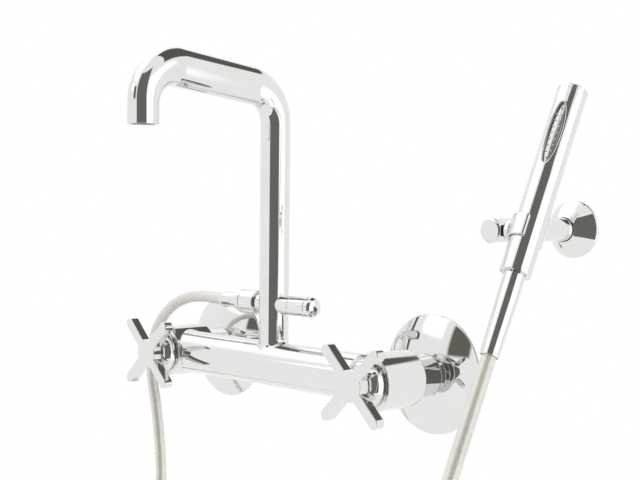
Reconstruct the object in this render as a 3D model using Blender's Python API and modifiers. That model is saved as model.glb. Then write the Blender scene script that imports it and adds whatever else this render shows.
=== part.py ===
"""Wall mounted bath faucet with two cross handles, a high spout, a pull diverter and a hand shower.

Metres, +Z up. The wall is the plane y = 0 and the faucet stands out of it towards -Y. The origin is on
the wall, midway between the two inlets, at the height of the mixer's own axis. Hot is at -X, cold at +X.
"""
import math

import bmesh
import bpy
from mathutils import Matrix, Vector

# ---------------------------------------------------------------- driving dimensions
GAP = 0.0003                 # between pieces that touch
RUNNING = 0.0004             # between a turning or sliding piece and its seat
ROUND = 24                   # facets round a large turned piece
FINE = 16                    # facets round a small one

INLET_CENTRES = 0.203        # hot inlet to cold inlet
AXIS_FROM_WALL = 0.0463      # the mixer's axis to the wall
TUBE_RADIUS = 0.0150         # the horizontal mixing tube
TUBE_BORE = 0.0095
TUBE_END_INSET = 0.0031      # the tube's ends stop short of the valves' axes
CHANNEL_END_INSET = 0.0076   # and so do the ends of the channel inside it
BOSS_START = 0.0012          # the spout's boss starts this high above the axis
CHAMBER_RADIUS = 0.0180      # the valve chamber at each end
CHAMBER_BACK = 0.0276        # its rear face, from the wall
CHAMBER_FRONT = 0.0620       # its front face, from the wall
CARTRIDGE_BORE = 0.0126
CARTRIDGE_SEAT = 0.0364      # floor of the cartridge bore, from the wall
INLET_BORE = 0.0092
INLET_BORE_DEPTH = 0.0070
PORT_BORE = 0.0060           # from the inlet bore to the cartridge

FLANGE_RADIUS = 0.0386
FLANGE_RIM = 0.0012
FLANGE_DOME = 0.0078
FLANGE_WALL = 0.0015
FLANGE_FOOT = 0.0026         # width of the flat ring that lies on the wall
UNION_RADIUS = 0.0134        # the round union nut between flange and chamber
UNION_START = 0.0035         # its rear face, from the wall
CONNECTOR_RADIUS = 0.0082
CONNECTOR_BORE = 0.0055
CONNECTOR_INTO_WALL = 0.0150
WASHER_THICKNESS = 0.0018

DISC_RADIUS = 0.0106         # the two ceramic discs in each cartridge
DISC_THICKNESS = 0.0030
SPINDLE_RADIUS = 0.0046
SPINDLE_TOP_RADIUS = 0.0036
CARTRIDGE_NECK_RADIUS = 0.0080
CARTRIDGE_NECK_LENGTH = 0.0035
BONNET_RADIUS = 0.0152
BONNET_TOP_RADIUS = 0.0078
BONNET_LENGTH = 0.0084
HUB_RADIUS = 0.0098
HUB_LENGTH = 0.0072
ARM_REACH = 0.0316           # handle axis to the end of each arm
ARM_WIDTH = 0.0072
ARM_THICKNESS = 0.0062
HANDLE_BORE_DEPTH = 0.0050
HANDLE_SCREW_RADIUS = 0.0014
HANDLE_SCREW_RECESS = 0.0012 # the grub screw's head below the hub's round
HANDLE_HUB_STEP = 0.0004     # the arms' faces below the hub's face
CUTTER_OVER = 0.0020         # how far a cutter passes the face it opens

RISER_RADIUS = 0.0101        # the spout's riser, which is round
ARM_HALF_WIDTH = 0.0092      # the spout's arm, which is oval, across
ARM_HALF_DEPTH = 0.0124      # and in the plane of the spout
OUTLET_RADIUS = 0.0098       # the spout's outlet, which is round again
SPOUT_WALL = 0.0013
SPOUT_FOOT = 0.0220          # where the spout meets the boss on the tube, above the axis
SPOUT_HEIGHT = 0.1832        # the arm's line over the riser, above the axis
SPOUT_REACH = 0.1082         # riser to outlet
SPOUT_RISE = math.radians(6.1)
SPOUT_BEND = 0.0240
SPOUT_OUTLET = 0.1553        # the outlet's rim, above the axis
BASE_SEAL_REACH = 0.0035     # the base seal reaches this far into the spout and into the boss
BASE_SEAL_WALL = 0.0010
AERATOR_LENGTH = 0.0085
AERATOR_WALL = 0.0010
AERATOR_RIM = 0.0010         # the outlet's rim to the aerator
AERATOR_SCREEN = 0.0010
SCREEN_RECESS = 0.0015       # the screen, above the aerator's lower end
SCREEN_HOLE = 0.0008

DIVERTER_HEIGHT = 0.0405     # the diverter's axis above the mixer's
DIVERTER_RADIUS = 0.0064
DIVERTER_BORE = 0.0044
DIVERTER_LEFT = 0.0140       # ends of the housing, from the riser's axis
DIVERTER_RIGHT = 0.0190
KNOB_RADIUS = 0.0067
KNOB_LENGTH = 0.0212
KNOB_BEVEL = 0.0012
KNOB_BORE_DEPTH = 0.0100     # the stem goes this far into the knob
STEM_RADIUS = 0.0015
DIVERTER_PORT = 0.0022
SPOOL_RADIUS = 0.0040
SPOOL_LENGTH = 0.0100
SPOOL_GROOVE = 0.0009        # depth of each groove, and half its width
GROOVE_FROM_MIDDLE = 0.0028
SPOOL_RING = 0.0004          # section radius of the O-rings in the grooves
OUTLET_NUT_RADIUS = 0.0082
OUTLET_NUT_LENGTH = 0.0186
FERRULE_RADIUS = 0.0054
FERRULE_LENGTH = 0.0180
FITTING_BORE = 0.0028        # the waterway through the hose's nut, washer and ferrule

HOLDER_X = 0.2048
HOLDER_HEIGHT = 0.0949
HOLDER_FLANGE_RADIUS = 0.0165
HOLDER_DOME = 0.0118
HOLDER_WALL = 0.0014
HOLDER_ARM_RADIUS = 0.0066
HOLDER_ARM_LENGTH = 0.0795   # wall to the arm's front end
WALL_PLATE_EDGE = 0.0027     # a wall screw's axis to the plate's edge
WALL_PLATE_THICKNESS = 0.0025
WALL_SCREW_RADIUS = 0.0017
WALL_SCREW_HEAD = 0.0028
WALL_SCREW_HEAD_THICKNESS = 0.0012
WALL_SCREW_LENGTH = 0.0250   # into the wall
WALL_SCREW_POINT = 0.0030
GRUB_RADIUS = 0.0014         # the cover's grub screw
GRUB_LENGTH = 0.0039
GRUB_FROM_WALL = 0.0059
PIVOT_PIN_DEPTH = 0.0046     # the pivot pin goes this far past the bar's middle
PIVOT_FROM_WALL = 0.0729
PIVOT_RADIUS = 0.0020
PIVOT_WASHER_RADIUS = 0.0046
PIVOT_WASHER = 0.0008
CLIP_BOSS_RADIUS = 0.0056
CLIP_WALL = 0.0016
CLIP_HEIGHT = 0.0120
CLIP_OPENING = math.radians(134)

HANDSET_X = 0.2250
HANDSET_LEAN = math.radians(27.2)
HANDSET_RADIUS = 0.00835
HANDSET_WALL = 0.0013
HANDSET_LENGTH = 0.1096
HANDSET_BELOW_PIVOT = 0.0245 # from the pivot's level down to the handset's lower end, along it
HANDSET_CAP = 0.0020
HANDSET_FLOOR = 0.0040
HANDSET_FACE_TURN = math.radians(15)
FACE_LENGTH = 0.0370
FACE_WIDTH = 0.0084
FACE_FROM_TOP = 0.0300
FACE_DEPTH = 0.0016          # from the handset's round to the spray plate
FACE_THICKNESS = 0.0016
WATERWAY_RADIUS = 0.0028
WATERWAY_BORE = 0.0019
INLET_STUB_RADIUS = 0.0046
INLET_STUB_LENGTH = 0.0036
INLET_STUB_HEAD = 0.0010     # the stub's upper end over the shell's floor
WATERWAY_START = 0.0015      # the waterway's lower end over the shell's floor
WATERWAY_TOP_GAP = 0.0040    # the waterway's upper end to the end cap
UPPER_WASHER = 0.0010

HOSE_RADIUS = 0.0040
HOSE_FIT = 0.00035           # hose to the cone that it slides into
CONE_LENGTH = 0.0460
CONE_TOP_RADIUS = 0.0057
CONE_END_RADIUS = 0.0050
CONE_STRAIGHT = 0.0120       # the plain part of the cone next to the handset
HOSE_IN_CONE = 0.0405
HOSE_STEP = 0.0230           # between the points of the hose's tube
HOSE_FITTING = 0.0040        # smallest step of the curve that the points are read from
HOSE_IN_LINE = (0.112, 0.090, 0.068)     # where it runs in line with the handset, below its foot

CHROME = (0.78, 0.78, 0.79)
SATIN = (0.66, 0.63, 0.58)
BRASS = (0.72, 0.53, 0.26)
STEEL = (0.62, 0.62, 0.63)
RUBBER = (0.03, 0.03, 0.03)
WHITE = (0.86, 0.86, 0.84)
GREY = (0.38, 0.39, 0.40)
BLUE = (0.10, 0.18, 0.42)

# The hose's route, from the outlet beside the riser to the cone under the handset. It leaves level,
# arches over behind the hot handle, hangs in a loop and comes up in line with the handset.
HOSE_ROUTE = [
    (-0.0620, -0.0463, 0.0408), (-0.0780, -0.0463, 0.0408), (-0.0940, -0.0463, 0.0386),
    (-0.1095, -0.0463, 0.0328), (-0.1228, -0.0463, 0.0232), (-0.1325, -0.0463, 0.0103),
    (-0.1375, -0.0463, -0.0055), (-0.1367, -0.0463, -0.0240), (-0.1320, -0.0463, -0.0440),
    (-0.1272, -0.0465, -0.0690), (-0.1234, -0.0475, -0.1000), (-0.1245, -0.0500, -0.1400),
    (-0.1310, -0.0555, -0.1800), (-0.1395, -0.0665, -0.2200), (-0.1415, -0.0860, -0.2590),
    (-0.1270, -0.1150, -0.2910), (-0.0930, -0.1490, -0.3100), (-0.0470, -0.1830, -0.3162),
    (0.0060, -0.2120, -0.3169), (0.0620, -0.2340, -0.3163), (0.1180, -0.2480, -0.3125),
    (0.1720, -0.2530, -0.2985), (0.2160, -0.2480, -0.2700), (0.2415, -0.2330, -0.2290),
    (0.2450, -0.2125, -0.1850), (0.2375, -0.1915, -0.1430), (0.2280, -0.1690, -0.0950),
    (0.2248, -0.1465, -0.0480),
]

# ---------------------------------------------------------------- derived places
HALF = INLET_CENTRES / 2
HANDLE_BACK = CHAMBER_FRONT + GAP + BONNET_LENGTH + RUNNING
HANDLE_FRONT = HANDLE_BACK + HUB_LENGTH
HANDSET_AXIS = Vector((0, math.sin(HANDSET_LEAN), math.cos(HANDSET_LEAN)))
PIVOT = Vector((HOLDER_X, -PIVOT_FROM_WALL, HOLDER_HEIGHT))
HANDSET_FOOT = Vector((HANDSET_X, PIVOT.y, PIVOT.z)) - HANDSET_AXIS * HANDSET_BELOW_PIVOT
WALL_SCREW_OFFSET = HOLDER_ARM_RADIUS + 2 * GAP + WALL_SCREW_HEAD
WALL_PLATE_RADIUS = WALL_SCREW_OFFSET + WALL_PLATE_EDGE
CLIP_INNER = HANDSET_RADIUS + RUNNING
CLIP_OUTER = CLIP_INNER + CLIP_WALL

TOWARDS_FRONT = Matrix.Rotation(math.pi / 2, 4, "X")       # local +Z becomes -Y
TOWARDS_RIGHT = Matrix.Rotation(math.pi / 2, 4, "Y")       # local +Z becomes +X
TOWARDS_LEFT = Matrix.Rotation(-math.pi / 2, 4, "Y")       # local +Z becomes -X
ALONG_HANDSET = Matrix.Rotation(-HANDSET_LEAN, 4, "X")     # local +Z becomes the handset's axis
UPRIGHT = Matrix.Identity(4)

for old in list(bpy.data.objects):
    bpy.data.objects.remove(old, do_unlink=True)
PARTS = bpy.data.collections.new("wall_mounted_bath_faucet")
CUTTERS = bpy.data.collections.new("cutters")
bpy.context.scene.collection.children.link(PARTS)
bpy.context.scene.collection.children.link(CUTTERS)


# ---------------------------------------------------------------- making and placing
def material(name, colour, roughness, metallic):
    """A plain Principled BSDF material, made once for each name."""
    found = bpy.data.materials.get(name)
    if found:
        return found
    made = bpy.data.materials.new(name)
    made.use_nodes = True
    shader = made.node_tree.nodes["Principled BSDF"]
    shader.inputs["Base Color"].default_value = (*colour, 1)
    shader.inputs["Roughness"].default_value = roughness
    shader.inputs["Metallic"].default_value = metallic
    return made


def chrome():
    return material("chrome", CHROME, 0.05, 1.0)


def brass():
    return material("brass", BRASS, 0.3, 1.0)


def steel():
    return material("stainless", STEEL, 0.3, 1.0)


def rubber():
    return material("rubber", RUBBER, 0.7, 0.0)


def ceramic():
    return material("ceramic", WHITE, 0.15, 0.0)


def spray_plastic():
    return material("spray_plastic", GREY, 0.45, 0.0)


def valve_plastic():
    return material("valve_plastic", BLUE, 0.4, 0.0)


def hose_metal():
    return material("hose_metal", SATIN, 0.35, 1.0)


def place(obj, finish, turn, spot, cutter=False):
    """Turns an object, moves it to its spot and files it as a part or as a cutter."""
    obj.matrix_world = Matrix.Translation(Vector(spot)) @ turn
    if cutter:
        CUTTERS.objects.link(obj)
        obj.display_type = "WIRE"
        obj.hide_render = True
        return obj
    PARTS.objects.link(obj)
    obj.data.materials.append(finish)
    return obj


def smooth(mesh):
    """Shades a mesh smooth, with its edges over 35 degrees sharp."""
    mesh.shade_smooth()
    mesh.set_sharp_from_angle(angle=math.radians(35))


def turned(name, profile, finish=None, turn=UPRIGHT, spot=(0, 0, 0), steps=FINE, cutter=False, ring=False):
    """A turned piece. The profile's (radius, height) points run down its outer side, top to bottom."""
    mesh = bpy.data.meshes.new(name)
    shape = bmesh.new()
    corners = [shape.verts.new((radius, 0, height)) for radius, height in profile]
    for first, second in zip(corners, corners[1:]):
        shape.edges.new((first, second))
    if ring:
        shape.edges.new((corners[-1], corners[0]))
    shape.to_mesh(mesh)
    shape.free()
    obj = bpy.data.objects.new(name, mesh)
    screw = obj.modifiers.new("turn", "SCREW")
    screw.axis = "Z"
    screw.steps = steps
    screw.render_steps = steps
    screw.use_merge_vertices = True
    screw.merge_threshold = 0.00001
    screw.use_smooth_shade = True
    return place(obj, finish, turn, spot, cutter)


def rod(
    name, radius, low, high, finish=None, turn=UPRIGHT, spot=(0, 0, 0), steps=FINE, cutter=False,
    chamfer=0.0
):
    """A solid round bar between two heights on its own axis, with chamfered ends where asked."""
    profile = [(0, high), (radius - chamfer, high), (radius, high - chamfer)]
    profile += [(radius, low + chamfer), (radius - chamfer, low), (0, low)]
    if not chamfer:
        profile = [(0, high), (radius, high), (radius, low), (0, low)]
    return turned(name, profile, finish, turn, spot, steps, cutter)


def collar(
    name, inner, outer, low, high, finish=None, turn=UPRIGHT, spot=(0, 0, 0), steps=FINE, chamfer=0.0
):
    """A round tube, washer or ring."""
    profile = [(inner, high), (outer - chamfer, high), (outer, high - chamfer)]
    profile += [(outer, low + chamfer), (outer - chamfer, low), (inner, low)]
    if not chamfer:
        profile = [(inner, high), (outer, high), (outer, low), (inner, low)]
    return turned(name, profile, finish, turn, spot, steps, ring=True)


def o_ring(name, middle, section, height, finish, turn, spot):
    """A rubber ring with a round section."""
    points = 6
    profile = []
    for step in range(points):
        angle = math.pi / 2 - 2 * math.pi * step / points
        profile.append((middle + section * math.cos(angle), height + section * math.sin(angle)))
    return turned(name, profile, finish, turn, spot, FINE, ring=True)


def dome_height(radius, rim_radius, height):
    """Height of a shallow dome over its rim at a radius."""
    return height * (1 - (radius / rim_radius) ** 2)


def dome_shell(name, rim, rim_height, dome, wall, foot, hole, finish, spot):
    """A domed wall flange: a shell with a flat ring on the wall and a round hole for the pipe."""
    steps = 4
    outer = []
    inner = []
    for step in range(steps + 1):
        radius = hole + (rim - hole) * step / steps
        outer.append((radius, rim_height + dome_height(radius, rim, dome)))
    inside = rim - foot
    for step in range(steps + 1):
        radius = inside + (hole - inside) * step / steps
        height = rim_height + dome_height(radius, rim, dome) - wall
        inner.append((radius, max(height, wall / 2)))
    profile = outer + [(rim, 0), (inside, 0)] + inner
    return turned(name, profile, finish, TOWARDS_FRONT, spot, ROUND, ring=True)


def ellipse(half_across, half_along, count=20):
    """Points of an ellipse, or of a circle where both halves are the same."""
    points = []
    for step in range(count):
        angle = 2 * math.pi * step / count
        points.append((half_across * math.cos(angle), half_along * math.sin(angle)))
    return points


def prism(name, outline, low, high, finish=None, turn=UPRIGHT, spot=(0, 0, 0), cutter=False, holes=()):
    """A flat outline given a thickness, with the outlines of its holes where it has any."""
    curve = bpy.data.curves.new(name, "CURVE")
    curve.dimensions = "2D"
    curve.fill_mode = "BOTH"
    curve.extrude = (high - low) / 2
    for loop in [outline, *holes]:
        spline = curve.splines.new("POLY")
        spline.points.add(len(loop) - 1)
        for point, (x, y) in zip(spline.points, loop):
            point.co = (x, y, 0, 1)
        spline.use_cyclic_u = True
    made = Matrix.Translation((0, 0, (high + low) / 2))
    obj = as_mesh(name, curve)
    obj.data.transform(made)
    smooth(obj.data)
    return place(obj, finish, turn, spot, cutter)


def as_mesh(name, curve):
    """A curve's solid as a mesh object with its caps welded on. The curve is removed."""
    guide = bpy.data.objects.new(name + "_curve", curve)
    bpy.context.scene.collection.objects.link(guide)
    bpy.context.view_layer.update()
    solid = guide.evaluated_get(bpy.context.evaluated_depsgraph_get())
    mesh = bpy.data.meshes.new_from_object(solid)
    mesh.name = name
    mesh.materials.clear()
    bpy.data.objects.remove(guide, do_unlink=True)
    shape = bmesh.new()
    shape.from_mesh(mesh)
    bmesh.ops.remove_doubles(shape, verts=shape.verts, dist=0.000005)
    bmesh.ops.recalc_face_normals(shape, faces=shape.faces)
    shape.to_mesh(mesh)
    shape.free()
    return bpy.data.objects.new(name, mesh)


def combine(obj, others, operation, solver):
    """Joins other solids to an object, or cuts them out of it."""
    for other in others:
        step = obj.modifiers.new(operation.lower(), "BOOLEAN")
        step.operation = operation
        step.solver = solver
        step.object = other


def cut(obj, *others, solver="EXACT"):
    combine(obj, others, "DIFFERENCE", solver)


def join(obj, *others, solver="EXACT"):
    combine(obj, others, "UNION", solver)


def joint_axis(name, spot, turn=UPRIGHT):
    """An empty on a joint's axis, which the moving pieces hang under."""
    empty = bpy.data.objects.new(name, None)
    empty.empty_display_size = 0.01
    empty.matrix_world = Matrix.Translation(Vector(spot)) @ turn
    PARTS.objects.link(empty)
    bpy.context.view_layer.update()
    return empty


def hang(parent, *children):
    """Parents pieces to an empty and leaves them where they are."""
    bpy.context.view_layer.update()
    for child in children:
        world = child.matrix_world.copy()
        child.parent = parent
        child.matrix_parent_inverse = parent.matrix_world.inverted()
        child.matrix_world = world


# ---------------------------------------------------------------- the mixer's body
def mixer_body():
    """One casting: the mixing tube, a valve chamber at each end and the round boss for the spout."""
    middle = (0, -AXIS_FROM_WALL, 0)
    end = HALF - TUBE_END_INSET
    body = rod("mixer_body", TUBE_RADIUS, -end, end, chrome(), TOWARDS_RIGHT, middle, ROUND)
    boss = rod("cut_boss", RISER_RADIUS, BOSS_START, SPOUT_FOOT, None, UPRIGHT, middle, 20, True)
    join(body, boss)
    for side in (-1, 1):
        foot = (side * HALF, 0, 0)
        chamber = rod(
            "cut_chamber", CHAMBER_RADIUS, CHAMBER_BACK, CHAMBER_FRONT, None, TOWARDS_FRONT, foot,
            ROUND, True, 0.0006
        )
        join(body, chamber)
    for side in (-1, 1):
        floor = CHAMBER_BACK + INLET_BORE_DEPTH
        steps = [
            (0, CHAMBER_FRONT + CUTTER_OVER), (CARTRIDGE_BORE, CHAMBER_FRONT + CUTTER_OVER),
            (CARTRIDGE_BORE, CARTRIDGE_SEAT),
            (PORT_BORE, CARTRIDGE_SEAT), (PORT_BORE, floor), (INLET_BORE, floor),
            (INLET_BORE, CHAMBER_BACK - CUTTER_OVER),
            (0, CHAMBER_BACK - CUTTER_OVER),
        ]
        bore = turned("cut_bore", steps, None, TOWARDS_FRONT, (side * HALF, 0, 0), 20, True)
        cut(body, bore, solver="MANIFOLD")
    end = HALF - CHANNEL_END_INSET
    channel = rod("cut_channel", TUBE_BORE, -end, end, None, TOWARDS_RIGHT, middle, 20, True)
    inside = RISER_RADIUS - SPOUT_WALL
    way_up = rod(
        "cut_way_up", inside, BOSS_START, SPOUT_FOOT + CUTTER_OVER, None, UPRIGHT, middle, 20, True
    )
    cut(body, channel, way_up, solver="MANIFOLD")
    return body


def inlet(side, word):
    """Wall connector, union washer, union nut and domed flange of one supply."""
    foot = (side * HALF, 0, 0)
    front = CHAMBER_BACK + INLET_BORE_DEPTH - GAP - WASHER_THICKNESS - GAP
    collar(
        word + "_wall_connector", CONNECTOR_BORE, CONNECTOR_RADIUS, -CONNECTOR_INTO_WALL, front, brass(),
        TOWARDS_FRONT, foot
    )
    collar(
        word + "_union_washer", CONNECTOR_BORE, CONNECTOR_RADIUS, front + GAP,
        front + GAP + WASHER_THICKNESS,
        rubber(), TOWARDS_FRONT, foot
    )
    collar(
        word + "_union_nut", CONNECTOR_RADIUS + GAP, UNION_RADIUS, UNION_START, CHAMBER_BACK - GAP,
        chrome(),
        TOWARDS_FRONT, foot, ROUND, 0.0005
    )
    dome_shell(
        word + "_flange", FLANGE_RADIUS, FLANGE_RIM, FLANGE_DOME, FLANGE_WALL, FLANGE_FOOT,
        UNION_RADIUS + GAP,
        chrome(), foot
    )


def cartridge(side, word):
    """Seal, discs, carrier, spindle and bonnet of one quarter-turn valve. Heights run out from the wall."""
    foot = (side * HALF, 0, 0)
    seal_top = CARTRIDGE_SEAT + GAP + WASHER_THICKNESS
    fixed_top = seal_top + GAP + DISC_THICKNESS
    moving_top = fixed_top + GAP + DISC_THICKNESS
    plate_top = moving_top + GAP + 0.0020
    neck_top = CHAMBER_FRONT + GAP + CARTRIDGE_NECK_LENGTH
    outside = CARTRIDGE_BORE - GAP
    pocket = DISC_RADIUS + RUNNING
    bore = SPINDLE_RADIUS + RUNNING
    collar(
        word + "_cartridge_seal", PORT_BORE, outside, CARTRIDGE_SEAT + GAP, seal_top, rubber(),
        TOWARDS_FRONT, foot
    )
    collar(
        word + "_fixed_disc", 0.0025, DISC_RADIUS, seal_top + GAP, fixed_top, ceramic(), TOWARDS_FRONT, foot
    )
    moving = collar(
        word + "_moving_disc", 0.0025, DISC_RADIUS, fixed_top + GAP, moving_top, ceramic(),
        TOWARDS_FRONT, foot
    )
    carrier = [
        (bore, neck_top), (CARTRIDGE_NECK_RADIUS, neck_top),
        (CARTRIDGE_NECK_RADIUS, CHAMBER_FRONT - 0.0010),
        (outside, CHAMBER_FRONT - 0.0010), (outside, seal_top + GAP), (pocket, seal_top + GAP),
        (pocket, plate_top + RUNNING), (bore, plate_top + RUNNING),
    ]
    turned(word + "_cartridge_body", carrier, brass(), TOWARDS_FRONT, foot, 24, ring=True)
    top = HANDLE_BACK + HANDLE_BORE_DEPTH - GAP
    shaft = [
        (0, top), (SPINDLE_TOP_RADIUS, top), (SPINDLE_TOP_RADIUS, neck_top), (SPINDLE_RADIUS, neck_top),
        (SPINDLE_RADIUS, plate_top), (DISC_RADIUS - 0.0006, plate_top),
        (DISC_RADIUS - 0.0006, moving_top + GAP),
        (0, moving_top + GAP),
    ]
    spindle = turned(word + "_spindle", shaft, brass(), TOWARDS_FRONT, foot)
    base = CHAMBER_FRONT + GAP
    shoulder = neck_top + GAP
    crown = base + BONNET_LENGTH
    inner = CARTRIDGE_NECK_RADIUS + GAP
    bell = [(bore, crown), (BONNET_TOP_RADIUS, crown)]
    for step in range(1, 7):
        angle = math.pi / 2 * step / 6
        radius = BONNET_TOP_RADIUS + (BONNET_RADIUS - BONNET_TOP_RADIUS) * math.sin(angle)
        bell.append((radius, base + 0.0010 + (BONNET_LENGTH - 0.0010) * math.cos(angle)))
    bell += [(BONNET_RADIUS, base), (inner, base), (inner, shoulder), (bore, shoulder)]
    turned(word + "_bonnet", bell, chrome(), TOWARDS_FRONT, foot, ROUND, ring=True)
    return spindle, moving


def cross_outline():
    """Outline of the four round-ended arms of a handle, at 45 degrees to the wall's level."""
    half = ARM_WIDTH / 2
    points = []
    for arm in range(4):
        along = math.pi / 4 + arm * math.pi / 2
        end = Vector((math.cos(along), math.sin(along))) * (ARM_REACH - half)
        corner = along - math.pi / 4
        points.append((half * math.sqrt(2) * math.cos(corner), half * math.sqrt(2) * math.sin(corner)))
        for step in range(9):
            angle = along - math.pi / 2 + math.pi * step / 8
            points.append((end.x + half * math.cos(angle), end.y + half * math.sin(angle)))
    return points


def handle(side, word):
    """Cross handle: four flat arms on a round hub, bored from behind for the spindle."""
    foot = (side * HALF, 0, 0)
    back = HANDLE_BACK
    arm_low = HANDLE_FRONT - HANDLE_HUB_STEP - ARM_THICKNESS
    cross = prism(
        word + "_handle", cross_outline(), arm_low, arm_low + ARM_THICKNESS, chrome(), TOWARDS_FRONT, foot
    )
    hub = rod("cut_hub", HUB_RADIUS, back, HANDLE_FRONT, None, TOWARDS_FRONT, foot, 24, True, 0.0005)
    bore = rod(
        "cut_handle_bore", SPINDLE_TOP_RADIUS + GAP, back - CUTTER_OVER, back + HANDLE_BORE_DEPTH, None,
        TOWARDS_FRONT, foot, FINE, True
    )
    middle = (side * HALF, -(back + HANDLE_BORE_DEPTH / 2), 0)
    screw_top = -(SPINDLE_TOP_RADIUS + 2 * GAP)
    tapped = rod(
        "cut_tapped", HANDLE_SCREW_RADIUS + GAP, -HUB_RADIUS - CUTTER_OVER, 0, None, UPRIGHT, middle,
        12, True
    )
    join(cross, hub)
    cut(cross, bore, tapped)
    screw_low = HANDLE_SCREW_RECESS - HUB_RADIUS
    screw = rod(
        word + "_handle_screw", HANDLE_SCREW_RADIUS, screw_low, screw_top, steel(), UPRIGHT, middle, 12
    )
    return cross, screw


def valve(side, word):
    """One supply's valve, with what turns hung under an empty on the valve's axis."""
    inlet(side, word)
    spindle, moving = cartridge(side, word)
    cross, screw = handle(side, word)
    axis = joint_axis(word + "_valve_axis", (side * HALF, -HANDLE_BACK, 0), TOWARDS_FRONT)
    hang(axis, spindle, moving, cross, screw)


# ---------------------------------------------------------------- the spout
def spout_path():
    """The spout's centre line: up, round to the front, out on a slight rise, and down to the outlet."""
    corner = Vector((0, -AXIS_FROM_WALL, SPOUT_HEIGHT))
    outward = Vector((0, -math.cos(SPOUT_RISE), math.sin(SPOUT_RISE)))
    tip = corner + outward * (SPOUT_REACH / math.cos(SPOUT_RISE))
    points = [Vector((0, -AXIS_FROM_WALL, SPOUT_FOOT + GAP))]
    points += bend(corner, Vector((0, 0, 1)), outward, SPOUT_BEND)
    points += bend(tip, outward, Vector((0, 0, -1)), SPOUT_BEND)
    points.append(Vector((0, tip.y, SPOUT_OUTLET)))
    return points


def bend(corner, before, after, radius, steps=6):
    """Points of an arc that rounds a corner between two directions."""
    turn = before.angle(after)
    start = corner - before * radius * math.tan(turn / 2)
    middle_way = (after - before * math.cos(turn)).normalized()
    centre = start + middle_way * radius
    points = []
    for step in range(steps + 1):
        angle = turn * step / steps
        points.append(centre - middle_way * radius * math.cos(angle) + before * radius * math.sin(angle))
    return points


def spout_sections(path, inset):
    """Half width and half depth at each point of the path: round, oval along the arm, round again."""
    riser = Vector((RISER_RADIUS - inset, RISER_RADIUS - inset))
    arm = Vector((ARM_HALF_WIDTH - inset, ARM_HALF_DEPTH - inset))
    outlet = Vector((OUTLET_RADIUS - inset, OUTLET_RADIUS - inset))
    half = len(path) // 2
    last = half - 2
    sections = [riser] + [riser.lerp(arm, step / last) for step in range(half - 1)]
    return sections + [arm.lerp(outlet, step / last) for step in range(half - 1)] + [outlet]


def swept(name, sections, path):
    """Ellipses swept along a path in the spout's plane, as a capped solid."""
    mesh = bpy.data.meshes.new(name)
    shape = bmesh.new()
    rings = []
    for index, point in enumerate(path):
        before = path[max(index - 1, 0)]
        after = path[min(index + 1, len(path) - 1)]
        along = (after - before).normalized()
        deep = along.cross(Vector((1, 0, 0)))
        outline = ellipse(*sections[index])
        rings.append([shape.verts.new(point + Vector((x, 0, 0)) + deep * y) for x, y in outline])
    for low, high in zip(rings, rings[1:]):
        for side in range(len(low)):
            after = (side + 1) % len(low)
            shape.faces.new((low[side], low[after], high[after], high[side]))
    shape.faces.new(rings[0])
    shape.faces.new(rings[-1])
    bmesh.ops.recalc_face_normals(shape, faces=shape.faces)
    shape.to_mesh(mesh)
    shape.free()
    smooth(mesh)
    return bpy.data.objects.new(name, mesh)


def spout():
    """The spout's shell, its base seal, and the aerator's housing and screen in its outlet."""
    path = spout_path()
    shell = swept("spout", spout_sections(path, 0), path)
    place(shell, chrome(), UPRIGHT, (0, 0, 0))
    over = Vector((0, 0, CUTTER_OVER))
    longer = [path[0] - over] + path[1:-1] + [path[-1] - over]
    hollow = swept("cut_waterway", spout_sections(path, SPOUT_WALL), longer)
    place(hollow, None, UPRIGHT, (0, 0, 0), True)
    level = (0, -AXIS_FROM_WALL, DIVERTER_HEIGHT)
    side = RISER_RADIUS + CUTTER_OVER
    through = rod(
        "cut_diverter", DIVERTER_RADIUS + GAP, -side, side, None, TOWARDS_RIGHT, level, 20, True
    )
    cut(shell, hollow, through)

    foot = (0, -AXIS_FROM_WALL, SPOUT_FOOT)
    seal = RISER_RADIUS - SPOUT_WALL - GAP
    collar(
        "spout_base_seal", seal - BASE_SEAL_WALL, seal, -BASE_SEAL_REACH, BASE_SEAL_REACH, rubber(),
        UPRIGHT,
        foot, 20
    )
    mouth = (0, path[-1].y, SPOUT_OUTLET)
    inside = OUTLET_RADIUS - SPOUT_WALL - GAP
    core = inside - AERATOR_WALL
    collar(
        "aerator_housing", core, inside, AERATOR_RIM, AERATOR_RIM + AERATOR_LENGTH, valve_plastic(),
        UPRIGHT,
        mouth, 20
    )
    screen = core - GAP
    pitch = screen / 2
    meshes = [
        [(column * pitch + x, row * pitch + y) for x, y in ellipse(SCREEN_HOLE, SCREEN_HOLE, 6)]
        for row in range(-1, 2)
        for column in range(-1, 2)
    ]
    low = AERATOR_RIM + SCREEN_RECESS
    prism(
        "aerator_screen", ellipse(screen, screen), low, low + AERATOR_SCREEN, steel(), UPRIGHT, mouth,
        holes=meshes
    )


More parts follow.
